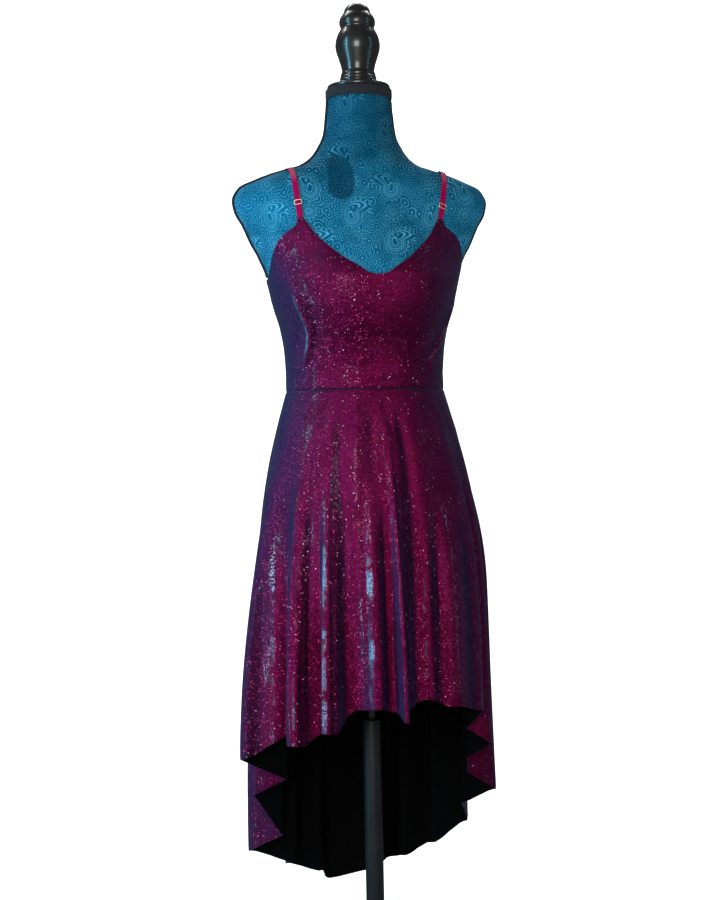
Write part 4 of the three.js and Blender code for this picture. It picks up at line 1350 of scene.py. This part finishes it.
class DRESS_OT_side_braid(Builder):
    """Thin black braid over the side seams of the form's cover, from the neck to its lower edge"""

    bl_idname = "dress.side_braid"
    bl_label = "Side seam braid"

    def build(self, sizes):
        for name, stretches, lift, knot in SIDE_BRAIDS:
            heights = np.concatenate([np.linspace(*stretch) for stretch in stretches])
            paths = []
            for angle in (-90, 90):
                line = form_point(np.full(len(heights), float(angle)), heights, 0)
                out = np.cross(np.gradient(line, axis=0), [0, 1, 0]) * -np.sign(angle)
                out /= np.linalg.norm(out, axis=1, keepdims=True)
                paths.append((lifted(line + out * lift), out, False))
            length, width, thickness = (size * MM for size in knot)
            obj = knots_along(
                name, paths, finish_for("black_braid"), Spacing=sizes.knot_spacing * 0.8,
                Lean=0.55, Length=length, Width=width, Thickness=thickness,
            )
            settle(obj, slot="black_braid")


class DRESS_OT_neck_braid(Builder):
    """Gimp braid round the top of the neck, with rows of knots and a zigzag lower edge"""

    bl_idname = "dress.neck_braid"
    bl_label = "Neck braid"

    def build(self, sizes):
        columns = NECK_BRAID_COLUMNS
        turn = np.linspace(-180, 180, columns, endpoint=False)
        low, high = NECK_BRAID_BOTTOM + 3.4, NECK_BRAID_TOP
        outline = [
            (low, 1.8), (low + 0.6, 2.1), (high - 0.6, 2.1), (high, 1.8), (high, 0.3), (low, 0.3),
        ]
        grid = np.array([form_point(turn, np.full(columns, h), margin) for h, margin in outline])
        index = np.arange(len(outline) * columns).reshape(-1, columns)
        after, above = np.roll(index, -1, axis=1), np.roll(index, -1, axis=0)
        quads = np.stack([index, after, np.roll(after, -1, axis=0), above], -1).reshape(-1, 4)
        points = lifted(grid.reshape(-1, 3))
        band = build_object("form_neck_braid_band", points, quads, [finish_for("black_braid")])
        settle(band, "form_neck_braid", slot="black_braid")
        paths = []
        for height in NECK_BRAID_ROWS:
            ring = form_point(turn, np.full(columns, height), 2.0)
            paths.append((lifted(ring), form_normal(ring), True))
        turn = np.linspace(-180, 180, ZIGZAG_POINTS, endpoint=False)
        zigzag = np.where(np.arange(ZIGZAG_POINTS) % 2, 450.0, 447.0)
        ring = form_point(turn, zigzag, 1.5)
        paths.append((lifted(ring), form_normal(ring), True))
        obj = knots_along(
            "form_neck_braid_knots", paths, finish_for("black_braid"),
            Spacing=sizes.knot_spacing, Length=0.0041, Width=0.0022, Thickness=0.0018, Lean=0.6,
        )
        settle(obj, slot="black_braid")


def turned_piece(name, node, outline, cuts, lift, finish, slot, sides=112):
    """A turned body with softened corners, standing for its CAD node."""
    obj = turned_object(name, rounded(outline, cuts), lift, finish_for(finish), sides)
    settle(obj, node, slot=slot)


class DRESS_OT_turned_wood(Builder):
    """Lacquered neck disc and turned finial"""

    bl_idname = "dress.turned_wood"
    bl_label = "Neck disc and finial"

    def build(self, sizes):
        wood = (WAIST_HEIGHT, "black_wood", "black_wood")
        turned_piece("neck_disc", "form_neck_disc", NECK_DISC_OUTLINE, (1.6, 0.7, 0.3), *wood)
        turned_piece("finial", "form_finial", FINIAL_OUTLINE, (1.6, 0.8, 0.35), *wood)


class DRESS_OT_stand(Builder):
    """Steel rod, painted pole and round base"""

    bl_idname = "dress.stand"
    bl_label = "Stand"

    def build(self, sizes):
        steel = (WAIST_HEIGHT, "rod_steel", "grey_steel")
        paint = (0, "black_paint", "black_paint")
        turned_piece("rod", "form_rod", ROD_OUTLINE, (0.6, 0.2), *steel, 64)
        turned_piece("pole", "form_pole", POLE_OUTLINE, (1.4, 0.6, 0.25), *paint, 80)
        turned_piece("base", "form_base", BASE_OUTLINE, (1.2, 0.6, 0.3), *paint, 144)


# Photo's focal length, frame and shift in pixels; the camera's distance from the pole's axis, its
# height, its turn round the pole and its roll
FOCAL_LENGTH_PX, FRAME_HEIGHT_PX, SHIFT_PX = 1558, 900, -6
CAMERA_DISTANCE, CAMERA_HEIGHT = 2.4, 0.929
CAMERA_TURN, CAMERA_ROLL = math.radians(-11), math.radians(-1.19)

# Area lights: name, place, target, size in metres, watts and colour
WHITE, COOL = (1, 1, 1), (0.25, 0.75, 1.0)
LIGHTS = [
    ("key_softbox", (-0.75, -2.6, 1.5), (0, 0, 1.0), (0.9, 1.3), 62, WHITE),
    ("left_strip", (-2.1, -0.7, 1.4), (0, 0, 0.9), (0.08, 2.4), 60, COOL),
    ("right_strip", (1.8, -1.1, 1.4), (0, 0, 0.9), (0.06, 2.4), 9, COOL),
    ("sweep_light", (0, 1.0, 3.4), (0, 3.6, 0.9), (3.0, 0.9), 210, WHITE),
]


def area_light(name, place, target, size, power, colour):
    data = bpy.data.lights.new(name, "AREA")
    data.shape = "RECTANGLE"
    data.size, data.size_y = size
    data.energy = power
    data.color = colour
    lamp = bpy.data.objects.new(name, data)
    lamp.location = place
    lamp.rotation_euler = (Vector(target) - Vector(place)).to_track_quat("-Z", "Y").to_euler()
    bpy.context.scene.collection.objects.link(lamp)


class DRESS_OT_stage(Builder):
    """Pale curved sweep, soft studio lights and the camera"""

    bl_idname = "dress.stage"
    bl_label = "Stage"

    def build(self, sizes):
        scene = bpy.context.scene
        self.add_sweep()
        world = bpy.data.worlds.new("studio")
        world.use_nodes = True
        background = world.node_tree.nodes["Background"]
        background.inputs["Color"].default_value = (0.86, 0.89, 0.95, 1)
        background.inputs["Strength"].default_value = 0.13
        scene.world = world
        scene.view_settings.view_transform = "Standard"
        for row in LIGHTS:
            area_light(*row)
        data = bpy.data.cameras.new("camera")
        data.sensor_width = 36
        data.lens = FOCAL_LENGTH_PX / FRAME_HEIGHT_PX * data.sensor_width
        data.shift_x = SHIFT_PX / FRAME_HEIGHT_PX
        data.clip_start, data.clip_end = 0.05, 60
        camera = bpy.data.objects.new("camera", data)
        across, ahead = math.sin(CAMERA_TURN), math.cos(CAMERA_TURN)
        camera.location = (CAMERA_DISTANCE * across, -CAMERA_DISTANCE * ahead, CAMERA_HEIGHT)
        aim = Vector((-across, ahead, 0)).to_track_quat("-Z", "Y")
        camera.rotation_euler = (aim @ Quaternion((0, 0, 1), CAMERA_ROLL)).to_euler()
        scene.collection.objects.link(camera)
        scene.camera = camera

    def add_sweep(self):
        edge, radius, half_width = 2.2, 1.4, 6.0
        profile = [(-4.0, 0.0), (edge, 0.0)]
        for turn in np.linspace(0.1, math.pi / 2, 14):
            profile.append((edge + radius * math.sin(turn), radius - radius * math.cos(turn)))
        profile.append((edge + radius, 5.0))
        sides = (-half_width, half_width)
        points = [(x / MM, y / MM, z / MM) for y, z in profile for x in sides]
        faces = [[2 * i, 2 * i + 1, 2 * i + 3, 2 * i + 2] for i in range(len(profile) - 1)]
        white = (0.93, 0.93, 0.93, 1.0)
        paper = Finish("sweep_paper", base_color=white, roughness=0.9, specular_ior_level=0.1)
        # From behind the paper is clear, so that the dress can be seen from all round
        behind = paper.node("ShaderNodeNewGeometry", output="Backfacing")
        paper.mix_shader(behind, paper.node("ShaderNodeBsdfTransparent"))
        sweep = build_object("sweep", points, faces, [paper.material])
        sweep.visible_glossy = False


class DRESS_PT_panel(bpy.types.Panel):
    bl_label = "Dress on a form"
    bl_idname = "DRESS_PT_panel"
    bl_space_type = "VIEW_3D"
    bl_region_type = "UI"
    bl_category = "Dress"

    def draw(self, context):
        for name in DressSizes.__annotations__:
            self.layout.prop(context.scene.dress_sizes, name)
        for operator in OPERATORS:
            self.layout.operator(operator.bl_idname)


OPERATORS = [
    DRESS_OT_stage,
    DRESS_OT_torso,
    DRESS_OT_side_braid,
    DRESS_OT_neck_braid,
    DRESS_OT_turned_wood,
    DRESS_OT_stand,
    DRESS_OT_bodice,
    DRESS_OT_skirt,
    DRESS_OT_sliders,
    DRESS_OT_straps,
]
CLASSES = [DressSizes, *OPERATORS, DRESS_PT_panel]


def register():
    for cls in CLASSES:
        bpy.utils.register_class(cls)
    bpy.types.Scene.dress_sizes = PointerProperty(type=DressSizes)


def unregister():
    del bpy.types.Scene.dress_sizes
    for cls in reversed(CLASSES):
        bpy.utils.unregister_class(cls)


def main():
    register()
    for operator in OPERATORS:
        group, name = operator.bl_idname.split(".")
        getattr(getattr(bpy.ops, group), name)()


if __name__ == "__main__":
    main()
